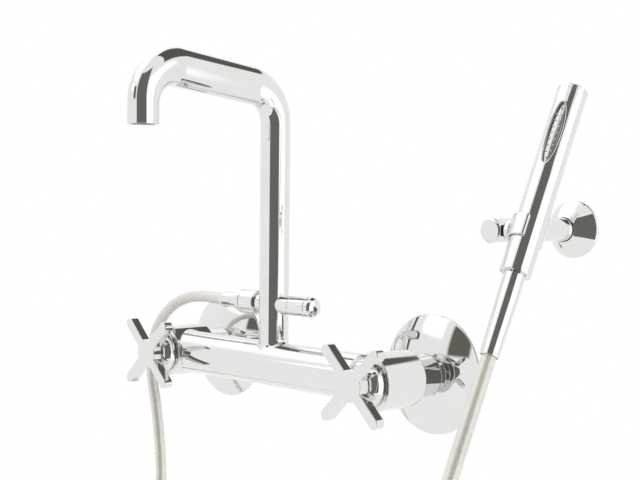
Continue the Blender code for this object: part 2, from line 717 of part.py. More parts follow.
# ---------------------------------------------------------------- the diverter
def diverter():
    """Housing through the riser, pull knob with its stem and spool, and the hose's outlet."""
    level = (0, -AXIS_FROM_WALL, DIVERTER_HEIGHT)
    housing = collar(
        "diverter_housing", DIVERTER_BORE, DIVERTER_RADIUS, -DIVERTER_LEFT, DIVERTER_RIGHT, chrome(),
        TOWARDS_RIGHT,
        level, 20
    )
    reach = DIVERTER_RADIUS + CUTTER_OVER
    port = rod("cut_ports", DIVERTER_PORT, -reach, reach, None, UPRIGHT, level, 16, True)
    cut(housing, port)

    knob_start = DIVERTER_RIGHT + GAP
    knob_end = knob_start + KNOB_LENGTH
    knob_bore = knob_start + KNOB_BORE_DEPTH
    round_end = [(KNOB_RADIUS - KNOB_BEVEL * 2, knob_end - KNOB_BEVEL / 6)]
    round_end += [(KNOB_RADIUS - KNOB_BEVEL * 0.6, knob_end - KNOB_BEVEL * 0.6)]
    round_end += [(KNOB_RADIUS, knob_end - KNOB_BEVEL * 1.6)]
    knob_profile = [(0, knob_end)] + round_end + [(KNOB_RADIUS, knob_start)]
    knob_profile += [(STEM_RADIUS + GAP, knob_start), (STEM_RADIUS + GAP, knob_bore), (0, knob_bore)]
    knob = turned("diverter_knob", knob_profile, chrome(), TOWARDS_RIGHT, level, 24)
    spool_start = -SPOOL_LENGTH / 2
    spool_end = SPOOL_LENGTH / 2
    stem = rod(
        "diverter_stem", STEM_RADIUS, spool_end + GAP, knob_bore - GAP, steel(), TOWARDS_RIGHT, level, 16
    )
    groove = SPOOL_GROOVE
    spool_profile = [(0, spool_end), (SPOOL_RADIUS, spool_end)]
    for middle in (GROOVE_FROM_MIDDLE, -GROOVE_FROM_MIDDLE):
        spool_profile += [(SPOOL_RADIUS, middle + groove), (SPOOL_RADIUS - groove, middle + groove)]
        spool_profile += [(SPOOL_RADIUS - groove, middle - groove), (SPOOL_RADIUS, middle - groove)]
    spool_profile += [(SPOOL_RADIUS, spool_start), (0, spool_start)]
    spool = turned("diverter_spool", spool_profile, brass(), TOWARDS_RIGHT, level)
    rings = []
    ring_radius = SPOOL_RADIUS - groove + SPOOL_RING + GAP / 2
    for word, middle in (("inner", GROOVE_FROM_MIDDLE), ("outer", -GROOVE_FROM_MIDDLE)):
        name = "diverter_" + word + "_o_ring"
        rings.append(o_ring(name, ring_radius, SPOOL_RING, middle, rubber(), TOWARDS_RIGHT, level))
    hang(joint_axis("diverter_axis", level, TOWARDS_RIGHT), knob, stem, spool, *rings)

    nut_start = DIVERTER_LEFT + GAP
    nut_end = nut_start + OUTLET_NUT_LENGTH
    bore = FITTING_BORE
    collar(
        "hose_outlet_nut", bore, OUTLET_NUT_RADIUS, nut_start, nut_end, chrome(), TOWARDS_LEFT, level,
        24, 0.0008
    )
    washer_end = nut_end + GAP + WASHER_THICKNESS
    collar(
        "hose_lower_washer", bore, FERRULE_RADIUS - 0.0004, nut_end + GAP, washer_end, rubber(),
        TOWARDS_LEFT, level
    )
    ferrule_end = washer_end + GAP + FERRULE_LENGTH
    collar(
        "hose_lower_ferrule", bore, FERRULE_RADIUS, washer_end + GAP, ferrule_end, chrome(),
        TOWARDS_LEFT, level,
        FINE, 0.0005
    )
    return Vector((-ferrule_end, -AXIS_FROM_WALL, DIVERTER_HEIGHT))


# ---------------------------------------------------------------- the holder on the wall
def holder():
    """Wall plate with two screws, domed cover, bar and grub screw, and the tilting clip on its pivot."""
    foot = (HOLDER_X, 0, HOLDER_HEIGHT)
    plate = rod(
        "holder_wall_plate", WALL_PLATE_RADIUS, 0, WALL_PLATE_THICKNESS, steel(), TOWARDS_FRONT, foot, 24
    )
    for word, way in (("upper", 1), ("lower", -1)):
        spot = (HOLDER_X, 0, HOLDER_HEIGHT + way * WALL_SCREW_OFFSET)
        hole = rod(
            "cut_screw_hole", WALL_SCREW_RADIUS + GAP, -CUTTER_OVER, WALL_PLATE_THICKNESS + CUTTER_OVER,
            None,
            TOWARDS_FRONT, spot, 16, True
        )
        cut(plate, hole)
        under = WALL_PLATE_THICKNESS + GAP
        top = under + WALL_SCREW_HEAD_THICKNESS
        profile = [
            (0, top), (WALL_SCREW_HEAD, top), (WALL_SCREW_HEAD, under), (WALL_SCREW_RADIUS, under),
            (WALL_SCREW_RADIUS, WALL_SCREW_POINT - WALL_SCREW_LENGTH), (0, -WALL_SCREW_LENGTH),
        ]
        turned("holder_" + word + "_screw", profile, steel(), TOWARDS_FRONT, spot, 16)
    cover = dome_shell(
        "holder_flange", HOLDER_FLANGE_RADIUS, FLANGE_RIM, HOLDER_DOME, HOLDER_WALL, HOLDER_WALL + 0.0006,
        HOLDER_ARM_RADIUS + GAP, chrome(), foot
    )
    arm = rod(
        "holder_arm", HOLDER_ARM_RADIUS, WALL_PLATE_THICKNESS + GAP, HOLDER_ARM_LENGTH, chrome(),
        TOWARDS_FRONT,
        foot, 20, False, 0.0005
    )
    pivot_hole = rod(
        "cut_pivot", PIVOT_RADIUS + GAP, -PIVOT_PIN_DEPTH - GAP, HOLDER_ARM_RADIUS + CUTTER_OVER, None,
        TOWARDS_RIGHT,
        PIVOT, 16, True
    )
    cut(arm, pivot_hole)
    under_dome = (HOLDER_X, -GRUB_FROM_WALL, HOLDER_HEIGHT)
    grub_hole = rod(
        "cut_grub", GRUB_RADIUS + GAP, -HOLDER_FLANGE_RADIUS, -HOLDER_ARM_RADIUS - GAP / 2, None,
        UPRIGHT, under_dome, 12,
        True
    )
    cut(cover, grub_hole)
    top = -HOLDER_ARM_RADIUS - GAP
    rod("holder_grub_screw", GRUB_RADIUS, top - GRUB_LENGTH, top, steel(), UPRIGHT, under_dome, 12)

    side = HOLDER_ARM_RADIUS + GAP
    washer = collar(
        "holder_friction_washer", PIVOT_RADIUS + GAP, PIVOT_WASHER_RADIUS, side, side + PIVOT_WASHER,
        rubber(),
        TOWARDS_RIGHT, PIVOT
    )
    boss_start = side + PIVOT_WASHER + GAP
    pin = rod(
        "holder_pivot_pin", PIVOT_RADIUS, -PIVOT_PIN_DEPTH, boss_start - GAP, steel(), TOWARDS_RIGHT,
        PIVOT, 16
    )
    clip = clip_ring()
    boss_end = HANDSET_X - HOLDER_X - CLIP_INNER - CLIP_WALL * 0.4
    boss = rod(
        "cut_clip_boss", CLIP_BOSS_RADIUS, boss_start, boss_end, None, TOWARDS_RIGHT, PIVOT, FINE, True
    )
    join(clip, boss)
    hang(joint_axis("holder_axis", PIVOT, TOWARDS_RIGHT), washer, pin, clip)


def clip_ring():
    """The clip's open ring round the handset: an arc with round ends, open towards +X."""
    half = (2 * math.pi - CLIP_OPENING) / 2
    middle = (CLIP_INNER + CLIP_OUTER) / 2
    steps = 24
    points = []
    for step in range(steps + 1):
        angle = math.pi - half + 2 * half * step / steps
        points.append((CLIP_OUTER * math.cos(angle), CLIP_OUTER * math.sin(angle)))
    end = math.pi + half
    for step in range(1, 5):
        angle = end + math.pi * step / 5
        points.append(
            (
                middle * math.cos(end) + CLIP_WALL / 2 * math.cos(angle),
                middle * math.sin(end) + CLIP_WALL / 2 * math.sin(angle),
            )
        )
    for step in range(steps + 1):
        angle = math.pi + half - 2 * half * step / steps
        points.append((CLIP_INNER * math.cos(angle), CLIP_INNER * math.sin(angle)))
    start = math.pi - half
    for step in range(1, 5):
        angle = start + math.pi + math.pi * step / 5
        points.append(
            (
                middle * math.cos(start) + CLIP_WALL / 2 * math.cos(angle),
                middle * math.sin(start) + CLIP_WALL / 2 * math.sin(angle),
            )
        )
    spot = HANDSET_FOOT + HANDSET_AXIS * HANDSET_BELOW_PIVOT
    return prism("holder_clip", points, -CLIP_HEIGHT / 2, CLIP_HEIGHT / 2, chrome(), ALONG_HANDSET, spot)


# ---------------------------------------------------------------- the handset
def handset():
    """The stick handset: shell, end cap, spray plate, waterway, inlet stub, washer and hose cone."""
    turn = ALONG_HANDSET @ Matrix.Rotation(HANDSET_FACE_TURN, 4, "Z")
    top = HANDSET_LENGTH - HANDSET_CAP - GAP
    inner = HANDSET_RADIUS - HANDSET_WALL
    stub_hole = INLET_STUB_RADIUS + GAP
    profile = [
        (inner, top), (HANDSET_RADIUS, top), (HANDSET_RADIUS, 0.0005), (HANDSET_RADIUS - 0.0005, 0),
        (stub_hole, 0),
        (stub_hole, HANDSET_FLOOR), (inner, HANDSET_FLOOR),
    ]
    shell = turned("handset_body", profile, chrome(), turn, HANDSET_FOOT, ROUND, ring=True)
    cap = rod(
        "handset_end_cap", HANDSET_RADIUS, top + GAP, HANDSET_LENGTH, chrome(), turn, HANDSET_FOOT,
        ROUND, False,
        0.0004
    )

    middle = HANDSET_LENGTH - FACE_FROM_TOP
    face = Matrix.Translation((0, 0, middle)) @ TOWARDS_FRONT
    window = ellipse(FACE_WIDTH / 2, FACE_LENGTH / 2)
    opening = prism(
        "cut_window", window, inner * 0.5, HANDSET_RADIUS + CUTTER_OVER, None, turn @ face,
        HANDSET_FOOT, True
    )
    cut(shell, opening)
    outline = ellipse(FACE_WIDTH / 2 - GAP, FACE_LENGTH / 2 - GAP)
    face_top = HANDSET_RADIUS - FACE_DEPTH
    plate = prism(
        "handset_spray_plate", outline, face_top - FACE_THICKNESS, face_top, spray_plastic(), turn @ face,
        HANDSET_FOOT
    )
    waterway = collar(
        "handset_waterway", WATERWAY_BORE, WATERWAY_RADIUS, HANDSET_FLOOR + WATERWAY_START,
        top - WATERWAY_TOP_GAP,
        valve_plastic(), turn, HANDSET_FOOT, 16
    )
    stub = collar(
        "handset_inlet", WATERWAY_BORE, INLET_STUB_RADIUS, -INLET_STUB_LENGTH,
        HANDSET_FLOOR + INLET_STUB_HEAD,
        brass(), turn, HANDSET_FOOT
    )
    bore = HOSE_RADIUS + HOSE_FIT
    socket = INLET_STUB_RADIUS + GAP
    washer_top = -INLET_STUB_LENGTH - GAP
    washer_low = washer_top - UPPER_WASHER
    socket_floor = washer_low - GAP
    cone_profile = [
        (socket, -GAP), (CONE_TOP_RADIUS, -GAP), (CONE_TOP_RADIUS, -CONE_STRAIGHT),
        (CONE_END_RADIUS, GAP - CONE_LENGTH),
        (bore, GAP - CONE_LENGTH), (bore, socket_floor), (socket, socket_floor),
    ]
    cone = turned("hose_cone_nut", cone_profile, chrome(), turn, HANDSET_FOOT, FINE, ring=True)
    washer = collar(
        "hose_upper_washer", WATERWAY_BORE, INLET_STUB_RADIUS, washer_low, washer_top, rubber(), turn,
        HANDSET_FOOT
    )
    slide = joint_axis("handset_axis", HANDSET_FOOT, ALONG_HANDSET)
    hang(slide, shell, cap, plate, waterway, stub, cone, washer)


# ---------------------------------------------------------------- the hose
def smooth_curve(route, step):
    """Points at equal steps on a smooth curve through the route's points."""
    dense = []
    padded = [route[0] * 2 - route[1]] + route + [route[-1] * 2 - route[-2]]
    for before, start, end, after in zip(padded, padded[1:], padded[2:], padded[3:]):
        pieces = max(2, round((end - start).length / HOSE_FITTING))
        for piece in range(pieces):
            dense.append(catmull_rom(before, start, end, after, piece / pieces))
    dense.append(route[-1])
    length = sum((b - a).length for a, b in zip(dense, dense[1:]))
    count = round(length / step)
    points = [dense[0]]
    travelled = 0.0
    for first, second in zip(dense, dense[1:]):
        stretch = (second - first).length
        while len(points) < count and travelled + stretch >= len(points) * length / count:
            share = (len(points) * length / count - travelled) / stretch
            points.append(first.lerp(second, share))
        travelled += stretch
    points.append(dense[-1])
    return points


def catmull_rom(before, start, end, after, share):
    """A point between two route points on a curve that leaves each along its neighbours' line."""
    square = share * share
    cube = square * share
    return 0.5 * (
        2 * start + (end - before) * share + (2 * before - 5 * start + 4 * end - after) * square
        + (3 * start - before - 3 * end + after) * cube
    )


def hose(exit_point):
    """The free hose: a plain tube from the outlet's ferrule to deep inside the cone nut."""
    start = exit_point - Vector((GAP, 0, 0))
    inside = HANDSET_FOOT - HANDSET_AXIS * (CONE_LENGTH - HOSE_IN_CONE)
    mouth = HANDSET_FOOT - HANDSET_AXIS * CONE_LENGTH
    straight = [HANDSET_FOOT - HANDSET_AXIS * far for far in HOSE_IN_LINE]
    route = [start] + [Vector(point) for point in HOSE_ROUTE] + straight + [mouth, inside]
    curve = bpy.data.curves.new("hose", "CURVE")
    curve.dimensions = "3D"
    curve.bevel_depth = HOSE_RADIUS
    curve.bevel_resolution = 2
    curve.use_fill_caps = True
    points = smooth_curve(route, HOSE_STEP)
    spline = curve.splines.new("POLY")
    spline.points.add(len(points) - 1)
    for point, spot in zip(spline.points, points):
        point.co = (*spot, 1)
    tube = bpy.data.objects.new("hose", curve)
    return place(tube, hose_metal(), UPRIGHT, (0, 0, 0))


mixer_body()
valve(-1, "hot")
valve(1, "cold")
spout()
hose_exit = diverter()
holder()
handset()
hose(hose_exit)
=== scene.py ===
"""Visual model of a wall mounted bath faucet: cross handles, high spout, pull diverter and hand shower.

Metres, +Z up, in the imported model's frame: the wall is y = 0, the faucet stands out towards -Y, and the
origin is midway between the inlets at the height of the mixing tube's axis.
"""
import math

import bmesh
import bpy
from mathutils import Matrix, Vector


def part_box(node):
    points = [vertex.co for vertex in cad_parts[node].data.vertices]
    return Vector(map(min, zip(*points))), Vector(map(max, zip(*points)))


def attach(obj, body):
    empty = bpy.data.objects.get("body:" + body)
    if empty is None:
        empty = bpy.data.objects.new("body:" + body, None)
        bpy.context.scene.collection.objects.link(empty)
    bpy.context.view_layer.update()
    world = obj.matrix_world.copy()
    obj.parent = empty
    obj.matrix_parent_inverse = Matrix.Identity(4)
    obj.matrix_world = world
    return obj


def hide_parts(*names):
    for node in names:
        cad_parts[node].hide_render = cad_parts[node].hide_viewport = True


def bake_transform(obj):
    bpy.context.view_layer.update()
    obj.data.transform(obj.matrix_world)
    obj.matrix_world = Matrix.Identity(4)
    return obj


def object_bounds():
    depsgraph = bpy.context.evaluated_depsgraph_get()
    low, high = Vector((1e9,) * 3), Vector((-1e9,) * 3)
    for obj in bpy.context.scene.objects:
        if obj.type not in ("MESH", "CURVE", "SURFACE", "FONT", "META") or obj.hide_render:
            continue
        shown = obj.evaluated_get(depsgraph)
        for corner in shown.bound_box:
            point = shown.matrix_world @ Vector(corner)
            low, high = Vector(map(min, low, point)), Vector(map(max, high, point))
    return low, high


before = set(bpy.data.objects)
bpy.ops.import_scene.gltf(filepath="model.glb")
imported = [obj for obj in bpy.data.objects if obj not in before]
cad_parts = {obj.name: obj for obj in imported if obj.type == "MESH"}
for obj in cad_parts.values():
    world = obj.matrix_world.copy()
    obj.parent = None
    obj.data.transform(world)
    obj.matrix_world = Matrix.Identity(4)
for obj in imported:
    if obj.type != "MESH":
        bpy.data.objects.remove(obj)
cad_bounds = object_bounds()

# ---------------------------------------------------------------- sizes the CAD's boxes don't give
STEPS = 144                  # facets round a turned piece
SHARP = math.radians(38)     # edges over this angle stay sharp
WELD = 0.000002              # vertices closer than this become one
CURVE_WELD = 0.000005
ON_AXIS = 0.000001           # a radius below this is a point on the axis
GAP = 0.0003                 # between pieces that touch
RUNNING = 0.0004             # between the clip and the handset
EASE = 0.0003                # round on an ordinary edge
CREASE = 0.00005             # round on a crisp edge

TUBE_RADIUS = 0.0150
TUBE_BORE = 0.0095
CHAMBER_RADIUS = 0.0180
CHAMBER_BACK = 0.0276
CHAMBER_FRONT = 0.0620
CARTRIDGE_BORE = 0.0126
CARTRIDGE_SEAT = 0.0364
PORT_BORE = 0.0060
INLET_BORE = 0.0092
INLET_FLOOR = 0.0346
TUBE_FILLET = 0.0012         # round between tube and chamber
FILLET_FROM_FRONT = 0.0007   # it stays this far behind the chamber's front face
LEAST_FILLET = 0.00005
FILLET_STRETCH = 1.2         # longer along the tube than out from it
FILLET_SINK = 0.00003        # its end lies this deep in the chamber
TUBE_INTO_CHAMBER = 0.0008
CHAMBER_FRONT_EASE = 0.0006
CHAMBER_BACK_EASE = 0.0008

RISER_RADIUS = 0.0101
ARM_HALF_WIDTH = 0.0092
ARM_HALF_DEPTH = 0.0124
OUTLET_RADIUS = 0.0098
SPOUT_WALL = 0.0013
SPOUT_HEIGHT = 0.1832
SPOUT_RISE = math.radians(6.1)
SPOUT_BEND = 0.0240
SPOUT_LIP = 0.0004           # round at the outlet's rim
AERATOR_RIM = 0.0010         # the outlet's rim to the aerator
RISER_STEPS = 12
RISER_STEP = 0.0105
HOLE_HALF = 0.0043           # the diverter passes through the riser, inside its sleeve
BEND_STEPS = 28
SPOUT_INSIDE = 0.0140        # how far up the outlet is modelled
FOOT_RISE = 0.0030           # fillet where the riser meets the tube
FOOT_SPREAD = 0.0017
FOOT_SINK = 0.00005          # the fillet's edge lies this deep in the tube
OVER_FOOT = 0.0002           # the riser's first plain ring over the fillet
UNDER_FOOT = 0.0105          # the skin's lowest point, inside the tube

FLANGE_RIM = 0.0012
FLANGE_WALL = 0.0015
FLANGE_FOOT = 0.0026
FLANGE_STEPS = 30
HOLE_CHAMFER = 0.0002
HOLDER_WALL = 0.0014
HOLDER_FOOT = 0.0020
UNION_EASE = 0.0005
BELL_BORE = 0.0050
BELL_TOP = 0.0078
BELL_NECK = 0.0083
BELL_STRAIGHT = 0.0010       # the bell's plain foot
BELL_SHOULDER = 0.0041       # from the chamber's face up to the neck's end, inside the bell
BELL_STEPS = 28
ARM_WIDTH = 0.0072
ARM_BACK = 0.0717
HUB_RADIUS = 0.0098
HUB_BORE = 0.0039
HUB_INSET = 0.0001           # the hub behind the arms is this much slimmer
HUB_OVERLAP = 0.0010         # and reaches this far into them
EDGE = 0.0005                # polished edge of a handle

SLEEVE_BORE = 0.0044
KNOB_BORE = 0.0018
KNOB_BORE_DEPTH = 0.0100
KNOB_GROOVE = 0.0055         # below the knob's face
KNOB_GROOVE_DEPTH = 0.00025
FITTING_BORE = 0.0028        # of the nut and the ferrule that hold the hose
NUT_GROOVE = 0.0042
NUT_GROOVE_DEPTH = 0.0003
BAR_BEVEL = 0.0009
BOSS_RADIUS = 0.0056         # the clip's boss, which faces the bar's end
BOSS_FROM_BAR = 0.0014
BOSS_EASE = 0.0008

HANDSET_LEAN = math.radians(27.2)
HANDSET_FOOT = Vector((0.2250, -0.0841, 0.0731))
HANDSET_RADIUS = 0.00835
HANDSET_LENGTH = 0.1096
HANDSET_CAP = 0.0020
SEAM = 0.00006               # between the handset's shell and its cap or cone
HANDSET_FLOOR = 0.0040
HANDSET_WALL = 0.0013
HANDSET_FACE_TURN = math.radians(15)
HANDSET_SOCKET = 0.0049      # radius of the threaded bore in its foot and in the cone's top
HANDSET_TOP_FLOOR = 0.0040   # below the shell's open top
WINDOW_REACH = 0.0105        # half width and half height of the finer skin round the window
WINDOW_TALL = 0.0235
WINDOW_LIP = 0.0005
WINDOW_WELL = 0.0026
WINDOW_COLUMNS = 24
WINDOW_ROWS = 40
BACK_COLUMNS = 72
FACE_LENGTH = 0.0370
FACE_WIDTH = 0.0084
FACE_FROM_TOP = 0.0300
FACE_DEPTH = 0.0016
FACE_SIDES = 72
NOZZLE_ROWS = 3              # above and below the middle, with a single nozzle beyond them
NOZZLE_SPACING = 0.0037
NOZZLE_COLUMN = 0.0017       # from the plate's middle line
NOZZLE_SIDES = 20
CONE_LENGTH = 0.0460
CONE_TOP_RADIUS = 0.0057
CONE_END_RADIUS = 0.0050
CONE_STRAIGHT = 0.0120       # it tapers from here down
CONE_SOCKET = 0.0052
HOSE_IN_CONE_GAP = 0.00035   # round the hose, inside the cone
CLIP_WALL = 0.0016
CLIP_HEIGHT = 0.0120
CLIP_OPENING = math.radians(134)
CLIP_EASE = 0.0004

HOSE_RADIUS = 0.0040
HOSE_IN_CONE = 0.0405
HOSE_EXIT = Vector((-0.0536, -0.0463, 0.0405))
HOSE_IN_LINE = (0.112, 0.090, 0.068)     # where it runs in line with the handset, below its foot
HOSE_STEP = 0.0025           # between the rings of the hose's tube
HOSE_SIDES = 28
HOSE_PITCH = 0.0013          # of the fine turns wound round it

# The hose's route: level out of the diverter, over behind the hot handle, down in a loop and up in line
# with the handset.
HOSE_ROUTE = [
    (-0.0620, -0.0463, 0.0408), (-0.0780, -0.0463, 0.0408), (-0.0940, -0.0463, 0.0386),
    (-0.1095, -0.0463, 0.0328), (-0.1228, -0.0463, 0.0232), (-0.1325, -0.0463, 0.0103),
    (-0.1375, -0.0463, -0.0055), (-0.1367, -0.0463, -0.0240), (-0.1320, -0.0463, -0.0440),
    (-0.1272, -0.0465, -0.0690), (-0.1234, -0.0475, -0.1000), (-0.1245, -0.0500, -0.1400),
    (-0.1310, -0.0555, -0.1800), (-0.1395, -0.0665, -0.2200), (-0.1415, -0.0860, -0.2590),
    (-0.1270, -0.1150, -0.2910), (-0.0930, -0.1490, -0.3100), (-0.0470, -0.1830, -0.3162),
    (0.0060, -0.2120, -0.3169), (0.0620, -0.2340, -0.3163), (0.1180, -0.2480, -0.3125),
    (0.1720, -0.2530, -0.2985), (0.2160, -0.2480, -0.2700), (0.2415, -0.2330, -0.2290),
    (0.2450, -0.2125, -0.1850), (0.2375, -0.1915, -0.1430), (0.2280, -0.1690, -0.0950),
    (0.2248, -0.1465, -0.0480),
]

TOWARDS_FRONT = Matrix.Rotation(math.pi / 2, 4, "X")       # local +Z becomes -Y
TOWARDS_RIGHT = Matrix.Rotation(math.pi / 2, 4, "Y")       # local +Z becomes +X
TOWARDS_LEFT = Matrix.Rotation(-math.pi / 2, 4, "Y")       # local +Z becomes -X
ALONG_HANDSET = Matrix.Rotation(-HANDSET_LEAN, 4, "X")     # local +Z becomes the handset's axis
FACING = ALONG_HANDSET @ Matrix.Rotation(HANDSET_FACE_TURN, 4, "Z")      # turned as its spray face is
HANDSET_AXIS = Vector((0, math.sin(HANDSET_LEAN), math.cos(HANDSET_LEAN)))


def middle(node):
    """Centre of a CAD node's box."""
    low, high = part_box(node)
    return (low + high) / 2


def size(node):
    """Width, depth and height of a CAD node's box."""
    low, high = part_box(node)
    return high - low


RISER = middle("diverter_housing")                         # where the diverter's axis meets the riser's
RISER.x = 0
AXIS = -RISER.y                                            # the tube's axis to the wall
HALF = middle("cold_handle").x                             # half the distance between the inlets
LEVEL = Vector((0, -AXIS, RISER.z))
HOLDER = middle("holder_arm")
HOLDER.y = 0


# ---------------------------------------------------------------- materials
NOISE_LOW = 0.3              # most of a noise lies between these two
NOISE_HIGH = 0.7


def nodes_of(name):
    """A new material with its node tree and its Principled shader."""
    made = bpy.data.materials.new(name)
    made.use_nodes = True
    return made, made.node_tree, made.node_tree.nodes["Principled BSDF"]


def noise(tree, scale, detail):
    """A noise texture in the object's own metres."""
    texture = tree.nodes.new("ShaderNodeTexNoise")
    texture.inputs["Scale"].default_value = scale
    texture.inputs["Detail"].default_value = detail
    source = tree.nodes.new("ShaderNodeTexCoord").outputs["Object"]
    tree.links.new(source, texture.inputs["Vector"])
    return texture.outputs["Fac"]


def between(tree, fac, low, high):
    """A value that runs from low to high over the middle of a noise."""
    span = tree.nodes.new("ShaderNodeMapRange")
    span.inputs["From Min"].default_value = NOISE_LOW
    span.inputs["From Max"].default_value = NOISE_HIGH
    span.inputs["To Min"].default_value = low
    span.inputs["To Max"].default_value = high
    tree.links.new(fac, span.inputs["Value"])
    return span.outputs["Result"]


def blended(tree, fac, first, second):
    """A colour between two colours, over the middle of a noise."""
    ramp = tree.nodes.new("ShaderNodeValToRGB")
    ramp.color_ramp.elements[0].position = NOISE_LOW
    ramp.color_ramp.elements[0].color = (*first, 1)
    ramp.color_ramp.elements[1].position = NOISE_HIGH
    ramp.color_ramp.elements[1].color = (*second, 1)
    tree.links.new(fac, ramp.inputs["Fac"])
    return ramp.outputs["Color"]


def worked(tree, operation, *values):
    """What a maths node makes of sockets and numbers."""
    node = tree.nodes.new("ShaderNodeMath")
    node.operation = operation
    for socket, value in zip(node.inputs, values):
        if isinstance(value, (int, float)):
            socket.default_value = value
        else:
            tree.links.new(value, socket)
    return node.outputs[0]


def bumped(tree, shader, height, strength, distance):
    """Raises a shader's surface by a height."""
    bump = tree.nodes.new("ShaderNodeBump")
    bump.inputs["Strength"].default_value = strength
    bump.inputs["Distance"].default_value = distance
    tree.links.new(height, bump.inputs["Height"])
    tree.links.new(bump.outputs["Normal"], shader.inputs["Normal"])


def finish_of(name, colours, rough, metallic, colour_scale, rough_scale, bump):
    """A surface with drifting colour and roughness and a fine texture.

    colours and rough are the two ends of each drift, and bump is (scale, strength, distance).
    """
    made, tree, shader = nodes_of(name)
    shader.inputs["Metallic"].default_value = metallic
    tint = blended(tree, noise(tree, colour_scale, 4.0), *colours)
    tree.links.new(tint, shader.inputs["Base Color"])
    gloss = between(tree, noise(tree, rough_scale, 6.0), *rough)
    tree.links.new(gloss, shader.inputs["Roughness"])
    scale, strength, distance = bump
    bumped(tree, shader, noise(tree, scale, 3.0), strength, distance)
    return made


def hose_finish():
    """Pale silver wound hose under a clear skin: faint turns round the hose, and a satin gloss."""
    made, tree, shader = nodes_of("hose_metal")
    shader.inputs["Metallic"].default_value = 0.35
    shader.inputs["Coat Weight"].default_value = 0.25
    shader.inputs["Coat Roughness"].default_value = 0.12
    tint = blended(tree, noise(tree, 90, 4.0), (0.83, 0.800, 0.745), (0.89, 0.862, 0.812))
    tree.links.new(tint, shader.inputs["Base Color"])
    gloss = between(tree, noise(tree, 700, 5.0), 0.26, 0.40)
    tree.links.new(gloss, shader.inputs["Roughness"])
    turns = tree.nodes.new("ShaderNodeAttribute")
    turns.attribute_name = "turns"
    bumped(tree, shader, worked(tree, "SINE", turns.outputs["Fac"]), 0.12, 0.00004)
    return made


# What finish_of needs for every slot but the hose's: chrome is a mirror with faint polishing drift, and
# spray_plastic is plated plastic with a soft gloss.
FINISHES = {"hose_metal": hose_finish()}
for row in (
    ("chrome", ((0.762, 0.760, 0.752), (0.790, 0.788, 0.782)), (0.012, 0.045), 1.0, 45, 160,
     (420, 0.05, 0.00002)),
    ("brass", ((0.56, 0.39, 0.17), (0.74, 0.55, 0.27)), (0.22, 0.42), 1.0, 220, 900,
     (1800, 0.3, 0.00005)),
    ("stainless", ((0.52, 0.52, 0.52), (0.64, 0.64, 0.65)), (0.20, 0.40), 1.0, 240, 1400,
     (2200, 0.3, 0.00004)),
    ("rubber", ((0.016, 0.016, 0.017), (0.040, 0.039, 0.038)), (0.55, 0.80), 0.0, 300, 900,
     (2600, 0.5, 0.00006)),
    ("ceramic", ((0.80, 0.79, 0.76), (0.88, 0.87, 0.85)), (0.08, 0.20), 0.0, 400, 900,
     (1500, 0.15, 0.00003)),
    ("valve_plastic", ((0.070, 0.140, 0.330), (0.110, 0.190, 0.420)), (0.32, 0.50), 0.0, 260, 1200,
     (2600, 0.35, 0.00004)),
    ("spray_plastic", ((0.640, 0.638, 0.630), (0.720, 0.718, 0.710)), (0.10, 0.18), 0.75, 300, 1500,
     (3200, 0.06, 0.00002)),
):
    FINISHES[row[0]] = finish_of(*row)


# ---------------------------------------------------------------- making pieces
def piece(name, shape, slot, body, replaced, turn=None, spot=None):
    """Files a bmesh as a piece: placed, shaded, finished, and riding on its body."""
    mesh = bpy.data.meshes.new(name)
    bmesh.ops.remove_doubles(shape, verts=shape.verts, dist=WELD)
    bmesh.ops.recalc_face_normals(shape, faces=shape.faces)
    shape.to_mesh(mesh)
    shape.free()
    if turn is not None:
        mesh.transform(turn)
    if spot is not None:
        mesh.transform(Matrix.Translation(Vector(spot)))
    mesh.shade_smooth()
    mesh.set_sharp_from_angle(angle=SHARP)
    obj = bpy.data.objects.new(name, mesh)
    bpy.context.scene.collection.objects.link(obj)
    mesh.materials.append(FINISHES[slot])
    even = obj.modifiers.new("even_normals", "WEIGHTED_NORMAL")
    even.keep_sharp = True
    even.weight = 50
    if body:
        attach(obj, body)
    if replaced:
        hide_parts(*replaced)
    return obj


def eased(corners, closed=True, steps=5):
    """A profile's points. A corner given as (x, y, cut) is rounded off over that distance."""
    points = []
    count = len(corners)
    for index, corner in enumerate(corners):
        here = Vector(corner[:2])
        ends = not closed and index in (0, count - 1)
        if len(corner) == 2 or ends:
            points.append(here)
            continue
        before = Vector(corners[index - 1][:2])
        after = Vector(corners[(index + 1) % count][:2])
        first = here + (before - here).normalized() * corner[2]
        last = here + (after - here).normalized() * corner[2]
        for step in range(steps + 1):
            share = step / steps
            points.append(first.lerp(here, share).lerp(here.lerp(last, share), share))
    return points


def skin(shape, rings, closed):
    """Faces between neighbouring rings of vertices. A ring of one vertex is a point on the axis."""
    pairs = list(zip(rings, rings[1:]))
    if closed:
        pairs.append((rings[-1], rings[0]))
    for low, high in pairs:
        count = max(len(low), len(high))
        for side in range(count):
            after = (side + 1) % count
            corners = [low[side % len(low)], low[after % len(low)]]
            corners += [high[after % len(high)], high[side % len(high)]]
            kept = [corner for index, corner in enumerate(corners) if corner not in corners[:index]]
            if len(kept) > 2:
                shape.faces.new(kept)


def turned(shape, profile, closed, steps=STEPS, turn=None, spot=None):
    """Adds a turned skin to a bmesh. The profile's points are (radius, height)."""
    rings = []
    for radius, height in profile:
        if radius < ON_AXIS:
            rings.append([shape.verts.new((0, 0, height))])
            continue
        ring = []
        for step in range(steps):
            angle = 2 * math.pi * step / steps
            ring.append(shape.verts.new((radius * math.cos(angle), radius * math.sin(angle), height)))
        rings.append(ring)
    skin(shape, rings, closed)
    made = [vert for ring in rings for vert in ring]
    place = Matrix.Identity(4) if turn is None else turn.copy()
    if spot is not None:
        place = Matrix.Translation(Vector(spot)) @ place
    bmesh.ops.transform(shape, matrix=place, verts=made)


